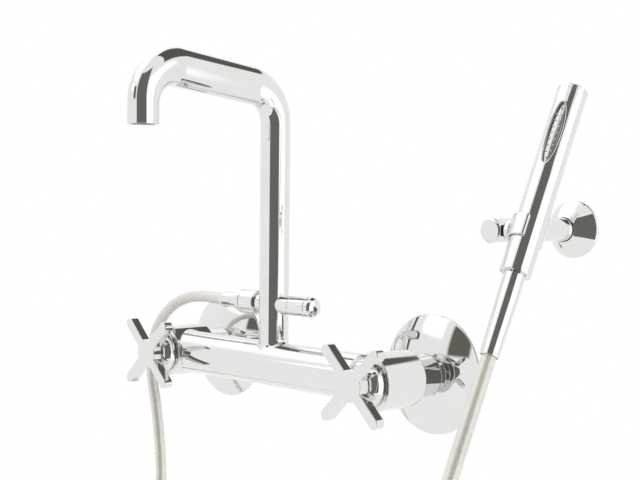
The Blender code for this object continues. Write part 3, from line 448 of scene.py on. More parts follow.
def lathe(name, corners, slot, body, replaced, turn, spot, closed=True):
    """A turned piece of its own."""
    shape = bmesh.new()
    turned(shape, eased(corners, closed), closed)
    return piece(name, shape, slot, body, replaced, turn, spot)


def slab(name, outline, low, high, ease):
    """A bmesh of a flat outline given a thickness, with its edges rounded off."""
    curve = bpy.data.curves.new(name, "CURVE")
    curve.dimensions = "2D"
    curve.fill_mode = "BOTH"
    curve.extrude = (high - low) / 2 - ease
    curve.bevel_depth = ease
    curve.bevel_resolution = 3
    curve.offset = -ease
    spline = curve.splines.new("POLY")
    spline.points.add(len(outline) - 1)
    for point, (x, y) in zip(spline.points, outline):
        point.co = (x, y, 0, 1)
    spline.use_cyclic_u = True
    guide = bpy.data.objects.new(name + "_outline", curve)
    bpy.context.scene.collection.objects.link(guide)
    bpy.context.view_layer.update()
    solid = guide.evaluated_get(bpy.context.evaluated_depsgraph_get())
    mesh = bpy.data.meshes.new_from_object(solid)
    bpy.data.objects.remove(guide, do_unlink=True)
    mesh.transform(Matrix.Translation((0, 0, (high + low) / 2)))
    shape = bmesh.new()
    shape.from_mesh(mesh)
    bmesh.ops.remove_doubles(shape, verts=shape.verts, dist=CURVE_WELD)
    bpy.data.meshes.remove(mesh)
    return shape


# ---------------------------------------------------------------- the hose
def catmull_rom(before, start, end, after, share):
    """A point between two route points on a curve that leaves each along its neighbours' line."""
    square = share * share
    cube = square * share
    return 0.5 * (
        2 * start + (end - before) * share + (2 * before - 5 * start + 4 * end - after) * square
        + (3 * start - before - 3 * end + after) * cube
    )


def hose_line():
    """The hose's centre line, from the diverter's ferrule to deep inside the cone nut."""
    inside = HANDSET_FOOT - HANDSET_AXIS * (CONE_LENGTH - HOSE_IN_CONE)
    mouth = HANDSET_FOOT - HANDSET_AXIS * CONE_LENGTH
    straight = [HANDSET_FOOT - HANDSET_AXIS * far for far in HOSE_IN_LINE]
    route = [HOSE_EXIT] + [Vector(point) for point in HOSE_ROUTE] + straight + [mouth, inside]
    padded = [route[0] * 2 - route[1]] + route + [route[-1] * 2 - route[-2]]
    points = []
    for before, start, end, after in zip(padded, padded[1:], padded[2:], padded[3:]):
        count = max(2, round((end - start).length / HOSE_STEP))
        points += [catmull_rom(before, start, end, after, step / count) for step in range(count)]
    points.append(route[-1])
    return points


def hose():
    """The free hose, bending between the faucet and the tilting holder."""
    line = hose_line()
    shape = bmesh.new()
    across = Vector((0, 1, 0))
    rings = []
    travelled = []
    far = 0.0
    for index, point in enumerate(line):
        along = (line[min(index + 1, len(line) - 1)] - line[max(index - 1, 0)]).normalized()
        across = (across - along * across.dot(along)).normalized()
        other = along.cross(across)
        ring = []
        for side in range(HOSE_SIDES):
            angle = 2 * math.pi * side / HOSE_SIDES
            out = across * math.cos(angle) + other * math.sin(angle)
            ring.append(shape.verts.new(point + out * HOSE_RADIUS))
        rings.append(ring)
        if index:
            far += (point - line[index - 1]).length
        travelled += [(far, side / HOSE_SIDES) for side in range(HOSE_SIDES)]
    skin(shape, rings, False)
    shape.faces.new(rings[0])
    shape.faces.new(rings[-1])
    obj = piece("hose_tube", shape, "hose_metal", None, ["hose"])
    turns = obj.data.attributes.new("turns", "FLOAT", "POINT")
    for item, (far, round_share) in zip(turns.data, travelled):
        item.value = 2 * math.pi * (far / HOSE_PITCH + round_share)
    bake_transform(obj)


# ---------------------------------------------------------------- the mixer
def saddle(angle):
    """Ring points of the tube's skin at an angle round it, from its middle out into one chamber."""
    flare = TUBE_FILLET
    front = CHAMBER_FRONT - AXIS - FILLET_FROM_FRONT
    if math.cos(angle) > 0:
        flare = max(LEAST_FILLET, min(TUBE_FILLET, front / math.cos(angle) - TUBE_RADIUS))
    meet = HALF - math.sqrt(CHAMBER_RADIUS ** 2 - (TUBE_RADIUS * math.sin(angle)) ** 2)
    wide = TUBE_RADIUS + flare
    edge = HALF - math.sqrt(CHAMBER_RADIUS ** 2 - (wide * math.sin(angle)) ** 2)
    first = Vector((meet - flare * FILLET_STRETCH, TUBE_RADIUS))
    corner = Vector((meet, TUBE_RADIUS))
    last = Vector((edge + FILLET_SINK, wide))
    points = []
    for step in range(6):
        share = step / 5
        points.append(first.lerp(corner, share).lerp(corner.lerp(last, share), share))
    points.append(Vector((edge + TUBE_INTO_CHAMBER, wide)))
    inner = HALF - math.sqrt(CHAMBER_RADIUS ** 2 - (TUBE_BORE * math.sin(angle)) ** 2)
    points.append(Vector((inner + TUBE_INTO_CHAMBER, TUBE_BORE)))
    return points


def mixer():
    """The mixing tube between its two valve chambers."""
    shape = bmesh.new()
    columns = []
    for step in range(STEPS):
        angle = 2 * math.pi * step / STEPS
        right = saddle(angle)
        points = [(-x, radius) for x, radius in reversed(right)] + [(x, radius) for x, radius in right]
        column = []
        for x, radius in points:
            column.append(shape.verts.new((x, -AXIS - radius * math.cos(angle), radius * math.sin(angle))))
        columns.append(column)
    rings = [list(ring) for ring in zip(*columns)]
    skin(shape, rings, True)
    chamber = [
        (CHAMBER_RADIUS, CHAMBER_FRONT, CHAMBER_FRONT_EASE), (CARTRIDGE_BORE, CHAMBER_FRONT, EASE),
        (CARTRIDGE_BORE, CARTRIDGE_SEAT), (PORT_BORE, CARTRIDGE_SEAT), (PORT_BORE, INLET_FLOOR),
        (INLET_BORE, INLET_FLOOR), (INLET_BORE, CHAMBER_BACK),
        (CHAMBER_RADIUS, CHAMBER_BACK, CHAMBER_BACK_EASE),
    ]
    for side in (-1, 1):
        turned(shape, eased(chamber), True, STEPS, TOWARDS_FRONT, (side * HALF, 0, 0))
    return piece("mixer_casting", shape, "chrome", "faucet", ["mixer_body"])


def ellipse(half_width, half_depth, count=96):
    """Points of a section of the spout: across in X, along the spout's plane in Y."""
    points = []
    for step in range(count):
        angle = 2 * math.pi * step / count
        points.append(Vector((half_width * math.cos(angle), half_depth * math.sin(angle))))
    return points


def outward(points):
    """Unit normals of a closed outline that runs anticlockwise."""
    normals = []
    for index in range(len(points)):
        chord = points[(index + 1) % len(points)] - points[index - 1]
        normals.append(Vector((chord.y, -chord.x)).normalized())
    return normals


def bend(corner, before, after, radius):
    """Points of an arc that rounds a corner between two directions."""
    turn = before.angle(after)
    start = corner - before * radius * math.tan(turn / 2)
    middle_way = (after - before * math.cos(turn)).normalized()
    centre = start + middle_way * radius
    points = []
    for step in range(BEND_STEPS + 1):
        angle = turn * step / BEND_STEPS
        points.append(centre - middle_way * radius * math.cos(angle) + before * radius * math.sin(angle))
    return points


def spout_line():
    """Centre line of the spout: up the riser, round, out on a slight rise, and down to the outlet."""
    mouth = middle("aerator_housing")
    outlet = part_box("aerator_housing")[0].z - AERATOR_RIM
    corner = Vector((0, -AXIS, SPOUT_HEIGHT))
    outward_way = Vector((0, -math.cos(SPOUT_RISE), math.sin(SPOUT_RISE)))
    tip = corner + outward_way * ((-AXIS - mouth.y) / math.cos(SPOUT_RISE))
    start = TUBE_RADIUS + FOOT_RISE + OVER_FOOT
    points = [Vector((0, -AXIS, start)), Vector((0, -AXIS, LEVEL.z - HOLE_HALF))]
    above = LEVEL.z + HOLE_HALF
    points += [Vector((0, -AXIS, above + RISER_STEP * step)) for step in range(RISER_STEPS - 2)]
    points += bend(corner, Vector((0, 0, 1)), outward_way, SPOUT_BEND)
    points += bend(tip, outward_way, Vector((0, 0, -1)), SPOUT_BEND)
    points.append(Vector((0, tip.y, outlet + SPOUT_LIP)))
    return points, outlet


def spout_sections():
    """Half width and half depth at each point of the line: round, oval along the arm, round again."""
    riser = Vector((RISER_RADIUS, RISER_RADIUS))
    arm = Vector((ARM_HALF_WIDTH, ARM_HALF_DEPTH))
    outlet = Vector((OUTLET_RADIUS, OUTLET_RADIUS))
    sections = [riser] * RISER_STEPS
    sections += [riser.lerp(arm, step / BEND_STEPS) for step in range(BEND_STEPS + 1)]
    sections += [arm.lerp(outlet, step / BEND_STEPS) for step in range(BEND_STEPS + 1)]
    return sections + [outlet]


def foot_rings(shape):
    """A point inside the tube, and the fillet round the riser's foot, which follows the tube's round."""
    section = ellipse(RISER_RADIUS, RISER_RADIUS)
    normals = outward(section)

    def tube_height(y):
        return math.sqrt(max(TUBE_RADIUS ** 2 - y * y, 0))

    rings = []
    for step in range(8):
        share = step / 7
        ring = []
        for spot, normal in zip(section, normals):
            out = spot + normal * FOOT_SPREAD
            low = Vector((out.x, out.y, tube_height(out.y) - FOOT_SINK))
            corner = Vector((spot.x, spot.y, tube_height(spot.y)))
            high = Vector((spot.x, spot.y, tube_height(spot.y) + FOOT_RISE))
            point = low.lerp(corner, share).lerp(corner.lerp(high, share), share)
            ring.append(shape.verts.new((point.x, -AXIS + point.y, point.z)))
        rings.append(ring)
    return [[shape.verts.new((0, -AXIS, UNDER_FOOT))]] + rings


def outlet_rings(shape, tip_y, outlet):
    """The outlet's rounded rim and the start of its waterway."""
    section = ellipse(OUTLET_RADIUS, OUTLET_RADIUS)
    normals = outward(section)
    lip = SPOUT_LIP
    rings = []
    for inset, height in (
        (lip * 0.3, lip * 0.3), (lip, 0), (SPOUT_WALL - lip, 0), (SPOUT_WALL, lip), (SPOUT_WALL, SPOUT_INSIDE)
    ):
        ring = []
        for spot, normal in zip(section, normals):
            inner = spot - normal * inset
            ring.append(shape.verts.new((inner.x, tip_y - inner.y, outlet + height)))
        rings.append(ring)
    rings.append([shape.verts.new((0, tip_y, outlet + SPOUT_INSIDE))])
    return rings


def spout():
    """The spout's skin: its fillet on the tube, the diverter's way through, and its outlet."""
    shape = bmesh.new()
    rings = foot_rings(shape)
    line, outlet = spout_line()
    sections = spout_sections()
    for index, point in enumerate(line):
        before = line[max(index - 1, 0)]
        after = line[min(index + 1, len(line) - 1)]
        along = (after - before).normalized()
        deep = along.cross(Vector((1, 0, 0)))
        outline = ellipse(*sections[index])
        rings.append([shape.verts.new(point + Vector((spot.x, 0, 0)) + deep * spot.y) for spot in outline])
    rings += outlet_rings(shape, line[-1].y, outlet)
    skin(shape, rings, False)
    hidden = []
    for face in shape.faces:
        spot = face.calc_center_median()
        at_level = abs(spot.z - LEVEL.z) < HOLE_HALF / 2
        if at_level and abs(spot.y + AXIS) < HOLE_HALF:
            hidden.append(face)
    bmesh.ops.delete(shape, geom=hidden, context="FACES")
    return piece("spout_shell", shape, "chrome", "faucet", ["spout"])


def flange(name, node, hole, wall=FLANGE_WALL, foot=FLANGE_FOOT):
    """A domed wall flange: a rounded rim, a shallow dome up to the pipe, and its hollow underside."""
    rim = size(node).x / 2
    low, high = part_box(node)
    depth = high.y - low.y
    dome = (depth - FLANGE_RIM) / (1 - (hole / rim) ** 2)
    corners = [(hole, depth - HOLE_CHAMFER), (hole + HOLE_CHAMFER, depth)]
    for step in range(1, FLANGE_STEPS):
        radius = hole + (rim - hole) * step / FLANGE_STEPS
        corners.append((radius, FLANGE_RIM + dome * (1 - (radius / rim) ** 2)))
    corners += [(rim, FLANGE_RIM, 0.0005), (rim, 0, 0.0001), (rim - foot, 0)]
    steps = FLANGE_STEPS // 2
    for step in range(steps + 1):
        radius = (rim - foot) + (hole - rim + foot) * step / steps
        height = FLANGE_RIM + dome * (1 - (radius / rim) ** 2) - wall
        corners.append((radius, max(height, wall / 2)))
    spot = middle(node)
    return lathe(name, corners, "chrome", "faucet", [node], TOWARDS_FRONT, (spot.x, 0, spot.z))


def inlet(word):
    """Union nut and wall flange of one supply."""
    nut = word + "_union_nut"
    low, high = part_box(nut)
    radius = size(nut).x / 2
    bore = size(word + "_wall_connector").x / 2 + GAP
    corners = [
        (bore, -low.y), (radius, -low.y, UNION_EASE), (radius, -high.y, UNION_EASE), (bore, -high.y),
    ]
    spot = (middle(nut).x, 0, 0)
    lathe(word + "_union_ring", corners, "chrome", "faucet", [nut], TOWARDS_FRONT, spot)
    flange(word + "_wall_flange", word + "_flange", radius + GAP)


def bonnet(word):
    """The bell between the valve chamber and the handle."""
    node = word + "_bonnet"
    low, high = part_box(node)
    base = -high.y
    crown = -low.y
    radius = size(node).x / 2
    foot = base + BELL_STRAIGHT
    corners = [(BELL_BORE, crown), (BELL_TOP, crown, EASE)]
    for step in range(1, BELL_STEPS + 1):
        angle = math.pi / 2 * step / BELL_STEPS
        out = BELL_TOP + (radius - BELL_TOP) * math.sin(angle)
        corners.append((out, foot + (crown - foot) * math.cos(angle)))
    shoulder = CHAMBER_FRONT + BELL_SHOULDER
    corners += [(radius, base, EASE), (BELL_NECK, base), (BELL_NECK, shoulder), (BELL_BORE, shoulder)]
    lathe(word + "_bell", corners, "chrome", "faucet", [node], TOWARDS_FRONT, (middle(node).x, 0, 0))


def handle_outline(reach):
    """Four round-ended arms at 45 degrees, with the hub's round between them."""
    half = ARM_WIDTH / 2
    side = math.asin(half / HUB_RADIUS)
    points = []
    for arm in range(4):
        along = math.pi / 4 + arm * math.pi / 2
        for step in range(9):
            angle = along - math.pi / 2 + side + (math.pi / 2 - 2 * side) * step / 8
            points.append((HUB_RADIUS * math.cos(angle), HUB_RADIUS * math.sin(angle)))
        end = Vector((math.cos(along), math.sin(along))) * (reach - half)
        for step in range(25):
            angle = along - math.pi / 2 + math.pi * step / 24
            points.append((end.x + half * math.cos(angle), end.y + half * math.sin(angle)))
    return points


def handle(word, body):
    """Cross handle: a flat polished cross, flush with its hub, and the hub's shoulder behind."""
    node = word + "_handle"
    low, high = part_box(node)
    front = -low.y
    back = -high.y
    reach = (size(node).x / 2 - ARM_WIDTH / 2) * math.sqrt(2) + ARM_WIDTH / 2
    shape = slab(node, handle_outline(reach), ARM_BACK, front, EDGE)
    top = ARM_BACK + HUB_OVERLAP
    wide = HUB_RADIUS - HUB_INSET
    shoulder = [(HUB_BORE, top), (wide, top), (wide, back, EASE), (HUB_BORE, back)]
    turned(shape, eased(shoulder), True)
    spot = (middle(node).x, 0, 0)
    return piece(word + "_cross", shape, "chrome", body, [node], TOWARDS_FRONT, spot)


# ---------------------------------------------------------------- the diverter
def groove(radius, height, depth):
    """Corners of a fine V groove round a turned piece, from its upper edge down."""
    return [(radius, height, CREASE), (radius - depth, height - depth), (radius, height - 2 * depth, CREASE)]


def on_level(name, corners, body, node, turn, closed=True):
    """A turned chrome piece on the diverter's level axis."""
    lathe(name, corners, "chrome", body, [node], turn, LEVEL, closed)


def diverter():
    """Housing, pull knob, hose nut and ferrule on the diverter's level axis."""
    low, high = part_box("diverter_housing")
    radius = size("diverter_housing").z / 2
    corners = [(SLEEVE_BORE, low.x), (radius, low.x, EASE), (radius, high.x, EASE), (SLEEVE_BORE, high.x)]
    on_level("diverter_sleeve", corners, "faucet", "diverter_housing", TOWARDS_RIGHT)

    low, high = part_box("diverter_knob")
    radius = size("diverter_knob").z / 2
    floor = low.x + KNOB_BORE_DEPTH
    corners = [
        (0, high.x), (radius * 0.35, high.x - 0.00005, 0.0004), (radius - 0.0012, high.x - 0.0009, 0.0009),
        (radius, high.x - 0.0028, 0.0006),
    ]
    corners += groove(radius, high.x - KNOB_GROOVE, KNOB_GROOVE_DEPTH)
    corners += [(radius, low.x, 0.0004), (KNOB_BORE, low.x), (KNOB_BORE, floor), (0, floor)]
    on_level("diverter_pull", corners, "diverter", "diverter_knob", TOWARDS_RIGHT, False)

    low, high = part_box("hose_outlet_nut")
    radius = size("hose_outlet_nut").z / 2
    near = -high.x
    far = -low.x
    corners = [(FITTING_BORE, far), (radius, far, 0.0012)]
    corners += groove(radius, far - NUT_GROOVE, NUT_GROOVE_DEPTH)
    corners += [(radius, near, 0.0007), (FITTING_BORE, near)]
    on_level("hose_union", corners, "faucet", "hose_outlet_nut", TOWARDS_LEFT)

    low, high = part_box("hose_lower_ferrule")
    radius = size("hose_lower_ferrule").z / 2
    near = -high.x
    far = -low.x
    corners = [
        (FITTING_BORE, far), (radius - 0.0008, far, 0.0004), (radius, far - 0.0030, 0.0010),
        (radius, near, 0.0004), (FITTING_BORE, near),
    ]
    on_level("hose_sleeve", corners, "faucet", "hose_lower_ferrule", TOWARDS_LEFT)


# ---------------------------------------------------------------- the holder
def holder():
    """Domed cover, bar with a bevelled end, and the tilting clip."""
    radius = size("holder_arm").x / 2
    flange("holder_cover", "holder_flange", radius + GAP, HOLDER_WALL, HOLDER_FOOT)
    low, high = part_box("holder_arm")
    end = -low.y
    corners = [
        (0, end), (radius - BAR_BEVEL, end, EASE), (radius, end - BAR_BEVEL, 0.0004), (radius, -high.y),
        (0, -high.y),
    ]
    lathe("holder_bar", corners, "chrome", "faucet", ["holder_arm"], TOWARDS_FRONT, HOLDER, False)
    clip(radius)


def round_end(centre, at, start):
    """Points of the half round that ends the clip's arc at an angle."""
    points = []
    for step in range(1, 9):
        angle = start + math.pi * step / 9
        x = centre * math.cos(at) + CLIP_WALL / 2 * math.cos(angle)
        y = centre * math.sin(at) + CLIP_WALL / 2 * math.sin(angle)
        points.append((x, y))
    return points


def clip_outline(inner, outer):
    """The clip's open ring: an arc with round ends, open towards +X."""
    half = (2 * math.pi - CLIP_OPENING) / 2
    centre = (inner + outer) / 2
    start = math.pi - half
    end = math.pi + half
    steps = 64
    angles = [start + 2 * half * step / steps for step in range(steps + 1)]
    points = [(outer * math.cos(angle), outer * math.sin(angle)) for angle in angles]
    points += round_end(centre, end, end)
    points += [(inner * math.cos(angle), inner * math.sin(angle)) for angle in reversed(angles)]
    points += round_end(centre, start, start + math.pi)
    return points


def clip(bar_radius):
    """The clip's ring round the handset and the boss that it turns on."""
    inner = HANDSET_RADIUS + RUNNING
    outer = inner + CLIP_WALL
    shape = slab("clip", clip_outline(inner, outer), -CLIP_HEIGHT / 2, CLIP_HEIGHT / 2, CLIP_EASE)
    pivot = middle("holder_pivot_pin")
    below = (pivot - HANDSET_FOOT).dot(HANDSET_AXIS)
    spot = HANDSET_FOOT + HANDSET_AXIS * below
    bmesh.ops.transform(shape, matrix=Matrix.Translation(spot) @ ALONG_HANDSET, verts=shape.verts)
    start = bar_radius + BOSS_FROM_BAR
    end = HANDSET_FOOT.x - HOLDER.x - inner - CLIP_WALL * 0.4
    corners = [(0, end), (BOSS_RADIUS, end), (BOSS_RADIUS, start, BOSS_EASE), (0, start)]
    turned(shape, eased(corners, False), False, STEPS, TOWARDS_RIGHT, (HOLDER.x, pivot.y, pivot.z))
    return piece("handset_clip", shape, "chrome", "holder_swivel", ["holder_clip"])


# ---------------------------------------------------------------- the handset
def on_round(across, along, radius):
    """A point on the handset's round, from a distance round it and a height. Across runs to its right."""
    angle = across / HANDSET_RADIUS
    return Vector((radius * math.sin(angle), -radius * math.cos(angle), along))


def handset_grid(shape):
    """The handset's round wall with a gap for its window: its rings, its columns and the gap's edge."""
    top = HANDSET_LENGTH - HANDSET_CAP - SEAM
    centre = HANDSET_LENGTH - FACE_FROM_TOP
    rest = 2 * math.pi * HANDSET_RADIUS - 2 * WINDOW_REACH
    columns = [WINDOW_REACH * (2 * step / WINDOW_COLUMNS - 1) for step in range(WINDOW_COLUMNS + 1)]
    around = columns + [WINDOW_REACH + rest * step / BACK_COLUMNS for step in range(1, BACK_COLUMNS)]
    rows = [centre + WINDOW_TALL * (2 * step / WINDOW_ROWS - 1) for step in range(WINDOW_ROWS + 1)]
    heights = [0.0010, 0.0100, 0.0200, 0.0300, 0.0400, 0.0500] + rows + [top - 0.0001]
    grid = []
    for height in heights:
        grid.append([shape.verts.new(on_round(across, height, HANDSET_RADIUS)) for across in around])
    first = heights.index(rows[0])
    last = first + WINDOW_ROWS
    for row, (low, high) in enumerate(zip(grid, grid[1:])):
        for column in range(len(around)):
            if first <= row < last and column < WINDOW_COLUMNS:
                continue
            after = (column + 1) % len(around)
            shape.faces.new((low[column], low[after], high[after], high[column]))

    edge = [(grid[first][column], columns[column], rows[0]) for column in range(WINDOW_COLUMNS)]
    edge += [(grid[first + row][WINDOW_COLUMNS], WINDOW_REACH, rows[row]) for row in range(WINDOW_ROWS)]
    edge += [(grid[last][column], columns[column], rows[-1]) for column in range(WINDOW_COLUMNS, 0, -1)]
    edge += [(grid[first + row][0], -WINDOW_REACH, rows[row]) for row in range(WINDOW_ROWS, 0, -1)]
    return grid, around, edge


def window_rings(shape, edge):
    """Rings from the gap's edge in to the oval window, over its lip and down to the floor of its well."""
    centre = HANDSET_LENGTH - FACE_FROM_TOP
    half_width = FACE_WIDTH / 2
    half_length = FACE_LENGTH / 2
    angles = []
    for vert, across, along in edge:
        angles.append(math.atan2((along - centre) / half_length, across / half_width))

    def on_oval(angle, inset):
        return (half_width + inset) * math.cos(angle), centre + (half_length + inset) * math.sin(angle)

    rings = [[vert for vert, across, along in edge]]
    for share in (0.25, 0.5, 0.7, 0.85, 1.0):
        ring = []
        for (vert, across, along), angle in zip(edge, angles):
            x, z = on_oval(angle, WINDOW_LIP)
            x = across + (x - across) * share
            z = along + (z - along) * share
            ring.append(shape.verts.new(on_round(x, z, HANDSET_RADIUS)))
        rings.append(ring)
    for inset, sink in (
        (WINDOW_LIP * 0.55, 0.00006), (WINDOW_LIP * 0.2, 0.00022), (0, 0.0005), (0, FACE_DEPTH + GAP),
        (0, WINDOW_WELL)
    ):
        radius = HANDSET_RADIUS - sink
        rings.append([shape.verts.new(on_round(*on_oval(angle, inset), radius)) for angle in angles])
    rings.append([shape.verts.new(on_round(0, centre, HANDSET_RADIUS - WINDOW_WELL))])
    return rings


def handset_shell():
    """The handset's round body with its oval window, floor and open top, as one closed skin."""
    shape = bmesh.new()
    grid, around, edge = handset_grid(shape)
    skin(shape, window_rings(shape, edge), False)

    def level_ring(radius, height):
        return [shape.verts.new(on_round(across, height, radius)) for across in around]

    foot = [
        level_ring(HANDSET_RADIUS, 0.0003), level_ring(HANDSET_RADIUS - 0.00008, 0.00008),
        level_ring(HANDSET_RADIUS - 0.0003, 0), level_ring(HANDSET_SOCKET, 0),
        level_ring(HANDSET_SOCKET, HANDSET_FLOOR), [shape.verts.new((0, 0, HANDSET_FLOOR))],
    ]
    skin(shape, [grid[0]] + foot, False)
    top = HANDSET_LENGTH - HANDSET_CAP - SEAM
    inner = HANDSET_RADIUS - HANDSET_WALL
    floor = top - HANDSET_TOP_FLOOR
    head = [
        level_ring(HANDSET_RADIUS - 0.00002, top - 0.00002), level_ring(HANDSET_RADIUS - 0.0002, top),
        level_ring(inner, top), level_ring(inner, floor), [shape.verts.new((0, 0, floor))],
    ]
    skin(shape, [grid[-1]] + head, False)
    return piece("handset_shell", shape, "chrome", "hand_shower", ["handset_body"], FACING, HANDSET_FOOT)


def spray_face():
    """The oval spray plate, slightly crowned, with two columns of soft nozzles."""
    shape = bmesh.new()
    half_width = FACE_WIDTH / 2 - GAP
    half_length = FACE_LENGTH / 2 - GAP
    centre = HANDSET_LENGTH - FACE_FROM_TOP
    surface = HANDSET_RADIUS - FACE_DEPTH
    rings = [[shape.verts.new(on_round(0, centre, surface - 0.0012))]]
    for scale, sink in (
        (1.0, 0.0012), (1.0, 0.0004), (0.96, 0.0001), (0.85, 0.0), (0.6, -0.0002), (0.3, -0.0003)
    ):
        ring = []
        for step in range(FACE_SIDES):
            angle = 2 * math.pi * step / FACE_SIDES
            x = half_width * scale * math.cos(angle)
            z = centre + half_length * scale * math.sin(angle)
            ring.append(shape.verts.new(on_round(x, z, surface - sink)))
        rings.append(ring)
    rings.append([shape.verts.new(on_round(0, centre, surface + 0.0003))])
    skin(shape, rings, False)
    nozzle = eased([
        (0, 0.0009), (0.00028, 0.0009, 0.0001), (0.00055, 0.0003, 0.0002), (0.0006, -0.0006), (0, -0.0006)
    ], False)
    spots = [(0, row) for row in (-NOZZLE_ROWS - 1, NOZZLE_ROWS + 1)]
    for row in range(-NOZZLE_ROWS, NOZZLE_ROWS + 1):
        spots += [(-NOZZLE_COLUMN, row), (NOZZLE_COLUMN, row)]
    for across, row in spots:
        spot = on_round(across, centre + row * NOZZLE_SPACING, surface + 0.0001)
        way = Matrix.Rotation(across / HANDSET_RADIUS, 4, "Z") @ TOWARDS_FRONT
        turned(shape, nozzle, False, NOZZLE_SIDES, way, spot)
    replaced = ["handset_spray_plate"]
    return piece("spray_face", shape, "spray_plastic", "hand_shower", replaced, FACING, HANDSET_FOOT)


def on_handset(name, corners, node, closed=True):
    """A turned chrome piece on the handset's axis."""
    lathe(name, corners, "chrome", "hand_shower", [node], ALONG_HANDSET, HANDSET_FOOT, closed)


def handset():
    """Shell, end cap, spray face and hose cone of the hand shower."""
    handset_shell()
    spray_face()
    corners = [
        (0, HANDSET_LENGTH), (HANDSET_RADIUS, HANDSET_LENGTH, 0.0006),
        (HANDSET_RADIUS, HANDSET_LENGTH - HANDSET_CAP, 0.00003), (0, HANDSET_LENGTH - HANDSET_CAP),
    ]
    on_handset("handset_cap", corners, "handset_end_cap", False)
    bore = HOSE_RADIUS + HOSE_IN_CONE_GAP
    end = EASE - CONE_LENGTH
    corners = [
        (HANDSET_SOCKET, -SEAM), (CONE_TOP_RADIUS, -SEAM, CREASE), (CONE_TOP_RADIUS, -CONE_STRAIGHT, 0.0020),
        (CONE_END_RADIUS, end, EASE), (bore, end), (bore, -CONE_SOCKET), (HANDSET_SOCKET, -CONE_SOCKET),
    ]
    on_handset("hose_cone", corners, "hose_cone_nut")


# ---------------------------------------------------------------- light, backdrop and camera
def panel(tree, colour, azimuth, elevation, reach, height, edge, tint):
    """Lays a soft-edged panel over the studio.

    azimuth and elevation are (socket, centre). reach and height are its half sizes and edge is the width
    of its soft edge. All are in degrees.
    """
    made = []
    for (source, centre), half in ((azimuth, reach), (elevation, height)):
        apart = worked(tree, "SUBTRACT", source, math.radians(centre))
        distance = worked(tree, "ABSOLUTE", worked(tree, "WRAP", apart, math.pi, -math.pi))
        window = tree.nodes.new("ShaderNodeMapRange")
        window.interpolation_type = "SMOOTHSTEP"
        window.inputs["From Min"].default_value = math.radians(half + edge / 2)
        window.inputs["From Max"].default_value = math.radians(half - edge / 2)
        tree.links.new(distance, window.inputs["Value"])
        made.append(window.outputs["Result"])
    mixed = tree.nodes.new("ShaderNodeMix")
    mixed.data_type = "RGBA"
    tree.links.new(worked(tree, "MULTIPLY", *made), mixed.inputs["Factor"])
    tree.links.new(colour, mixed.inputs["A"])
    mixed.inputs["B"].default_value = (*tint, 1)
    return mixed.outputs["Result"]


def studio():
    """A white studio with a few soft dark and bright panels, which the chrome mirrors."""
    world = bpy.data.worlds.new("studio")
    bpy.context.scene.world = world
    world.use_nodes = True
    tree = world.node_tree
    tree.nodes.clear()
    way = tree.nodes.new("ShaderNodeTexCoord")
    split = tree.nodes.new("ShaderNodeSeparateXYZ")
    tree.links.new(way.outputs["Generated"], split.inputs[0])
    front = worked(tree, "MULTIPLY", split.outputs["Y"], -1)
    azimuth = worked(tree, "ARCTAN2", split.outputs["X"], front)
    elevation = worked(tree, "ARCSINE", split.outputs["Z"])
    base = tree.nodes.new("ShaderNodeRGB")
    base.outputs[0].default_value = (1, 1, 1, 1)
    colour = base.outputs[0]
    for turned_by, lifted_by, reach, tall, edge, tint in STUDIO_PANELS:
        colour = panel(tree, colour, (azimuth, turned_by), (elevation, lifted_by), reach, tall, edge, tint)
    seen = tree.nodes.new("ShaderNodeBackground")
    seen.inputs["Color"].default_value = (1, 1, 1, 1)
    mirrored = tree.nodes.new("ShaderNodeBackground")
    tree.links.new(colour, mirrored.inputs["Color"])
    path = tree.nodes.new("ShaderNodeLightPath")
    pick = tree.nodes.new("ShaderNodeMixShader")
    tree.links.new(path.outputs["Is Camera Ray"], pick.inputs[0])
    tree.links.new(mirrored.outputs[0], pick.inputs[1])
    tree.links.new(seen.outputs[0], pick.inputs[2])
    out = tree.nodes.new("ShaderNodeOutputWorld")
    tree.links.new(pick.outputs[0], out.inputs["Surface"])


# Azimuth runs from -Y towards +X and elevation up, in degrees: centre, half sizes, edge width, colour.
# A colour under 1 is a dark panel, and one over 1 is a bright panel.
STUDIO_PANELS = [
    (-70, 55, 60, 22, 12, (1.4, 1.4, 1.4)),
    (104, -4, 23, 34, 5, (1.4, 1.4, 1.4)),
    (-39, 23, 11, 6, 4, (1.5, 1.5, 1.5)),
    (42, 10, 35, 42, 1.5, (0.165, 0.158, 0.146)),
    (165, 68, 54, 28, 3, (0.115, 0.110, 0.100)),
    (-11, 17, 9, 10, 3, (0.150, 0.138, 0.122)),
]


def one_sided(name, colour):
    """A plain glow that shows from one side only."""
    made = bpy.data.materials.new(name)
    made.use_nodes = True
    tree = made.node_tree
    tree.nodes.clear()
    glow = tree.nodes.new("ShaderNodeEmission")
    glow.inputs["Color"].default_value = (*colour, 1)
    clear = tree.nodes.new("ShaderNodeBsdfTransparent")
    side = tree.nodes.new("ShaderNodeNewGeometry")
    pick = tree.nodes.new("ShaderNodeMixShader")
    tree.links.new(side.outputs["Backfacing"], pick.inputs[0])
    tree.links.new(glow.outputs[0], pick.inputs[1])
    tree.links.new(clear.outputs[0], pick.inputs[2])
    out = tree.nodes.new("ShaderNodeOutputMaterial")
    tree.links.new(pick.outputs[0], out.inputs["Surface"])
    return made


def sheet_of(name, corners, material):
    """A flat four-cornered backdrop."""
    mesh = bpy.data.meshes.new(name)
    mesh.from_pydata(corners, [], [(0, 1, 2, 3)])
    mesh.materials.append(material)
    obj = bpy.data.objects.new(name, mesh)
    bpy.context.scene.collection.objects.link(obj)
    return obj


BACKDROP_REACH = 1.6
WALL_TOP = 0.6
WALL_Y = 0.0006              # just behind the faucet's flanges
FLOOR_DROP = 0.035           # below the hose's lowest point


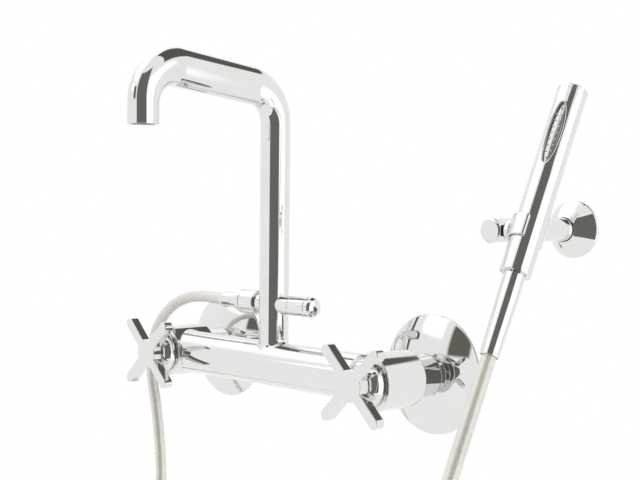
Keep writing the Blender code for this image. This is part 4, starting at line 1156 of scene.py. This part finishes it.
def backdrop():
    """The white wall, seen by the camera from the front only, and a pale floor far below."""
    wide = BACKDROP_REACH
    low = cad_bounds[0][2] - FLOOR_DROP
    corners = [(-wide, WALL_Y, low), (wide, WALL_Y, low), (wide, WALL_Y, WALL_TOP), (-wide, WALL_Y, WALL_TOP)]
    wall = sheet_of("wall", corners, one_sided("wall_white", (1, 1, 1)))
    wall.visible_glossy = False
    wall.visible_diffuse = False
    wall.visible_shadow = False
    pale = finish_of(
        "floor_pale", ((0.89, 0.89, 0.88), (0.92, 0.92, 0.91)), (0.6, 0.8), 0.0, 3, 20, (60, 0.05, 0.0005)
    )
    corners = [(-wide, -wide, low), (wide, -wide, low), (wide, wide, low), (-wide, wide, low)]
    floor = sheet_of("floor", corners, pale)
    floor.visible_glossy = False


CAMERA_SPOT = (0.57869, -0.57184, 0.10762)
CAMERA_YAW = 0.7943
CAMERA_PITCH = 0.03036
CAMERA_ROLL = 0.00984
CAMERA_LENS = 65.3           # millimetres, on a sensor 36 mm wide


def camera():
    """The camera, right of the faucet and a little above the tube."""
    lens = bpy.data.cameras.new("camera")
    lens.sensor_width = 36.0
    lens.lens = CAMERA_LENS
    eye = bpy.data.objects.new("camera", lens)
    bpy.context.scene.collection.objects.link(eye)
    turn = Matrix.Rotation(CAMERA_YAW, 4, "Z") @ Matrix.Rotation(math.pi / 2 - CAMERA_PITCH, 4, "X")
    turn = turn @ Matrix.Rotation(CAMERA_ROLL, 4, "Z")
    eye.matrix_world = Matrix.Translation(CAMERA_SPOT) @ turn
    lens.clip_start = 0.01
    lens.clip_end = 50
    bpy.context.scene.camera = eye


# ---------------------------------------------------------------- the carried-over CAD nodes
def dress_nodes():
    """Gives every CAD node the finish of its own material slot."""
    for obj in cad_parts.values():
        for place in obj.material_slots:
            plain = place.material.name.split(".")[0] if place.material else ""
            for slot, made in FINISHES.items():
                if plain == slot:
                    place.material = made


camera()
hose()
mixer()
spout()
for side in ("hot", "cold"):
    inlet(side)
    bonnet(side)
    handle(side, side + "_control")
diverter()
holder()
handset()
dress_nodes()
studio()
backdrop()
bpy.context.scene.view_settings.view_transform = "Standard"
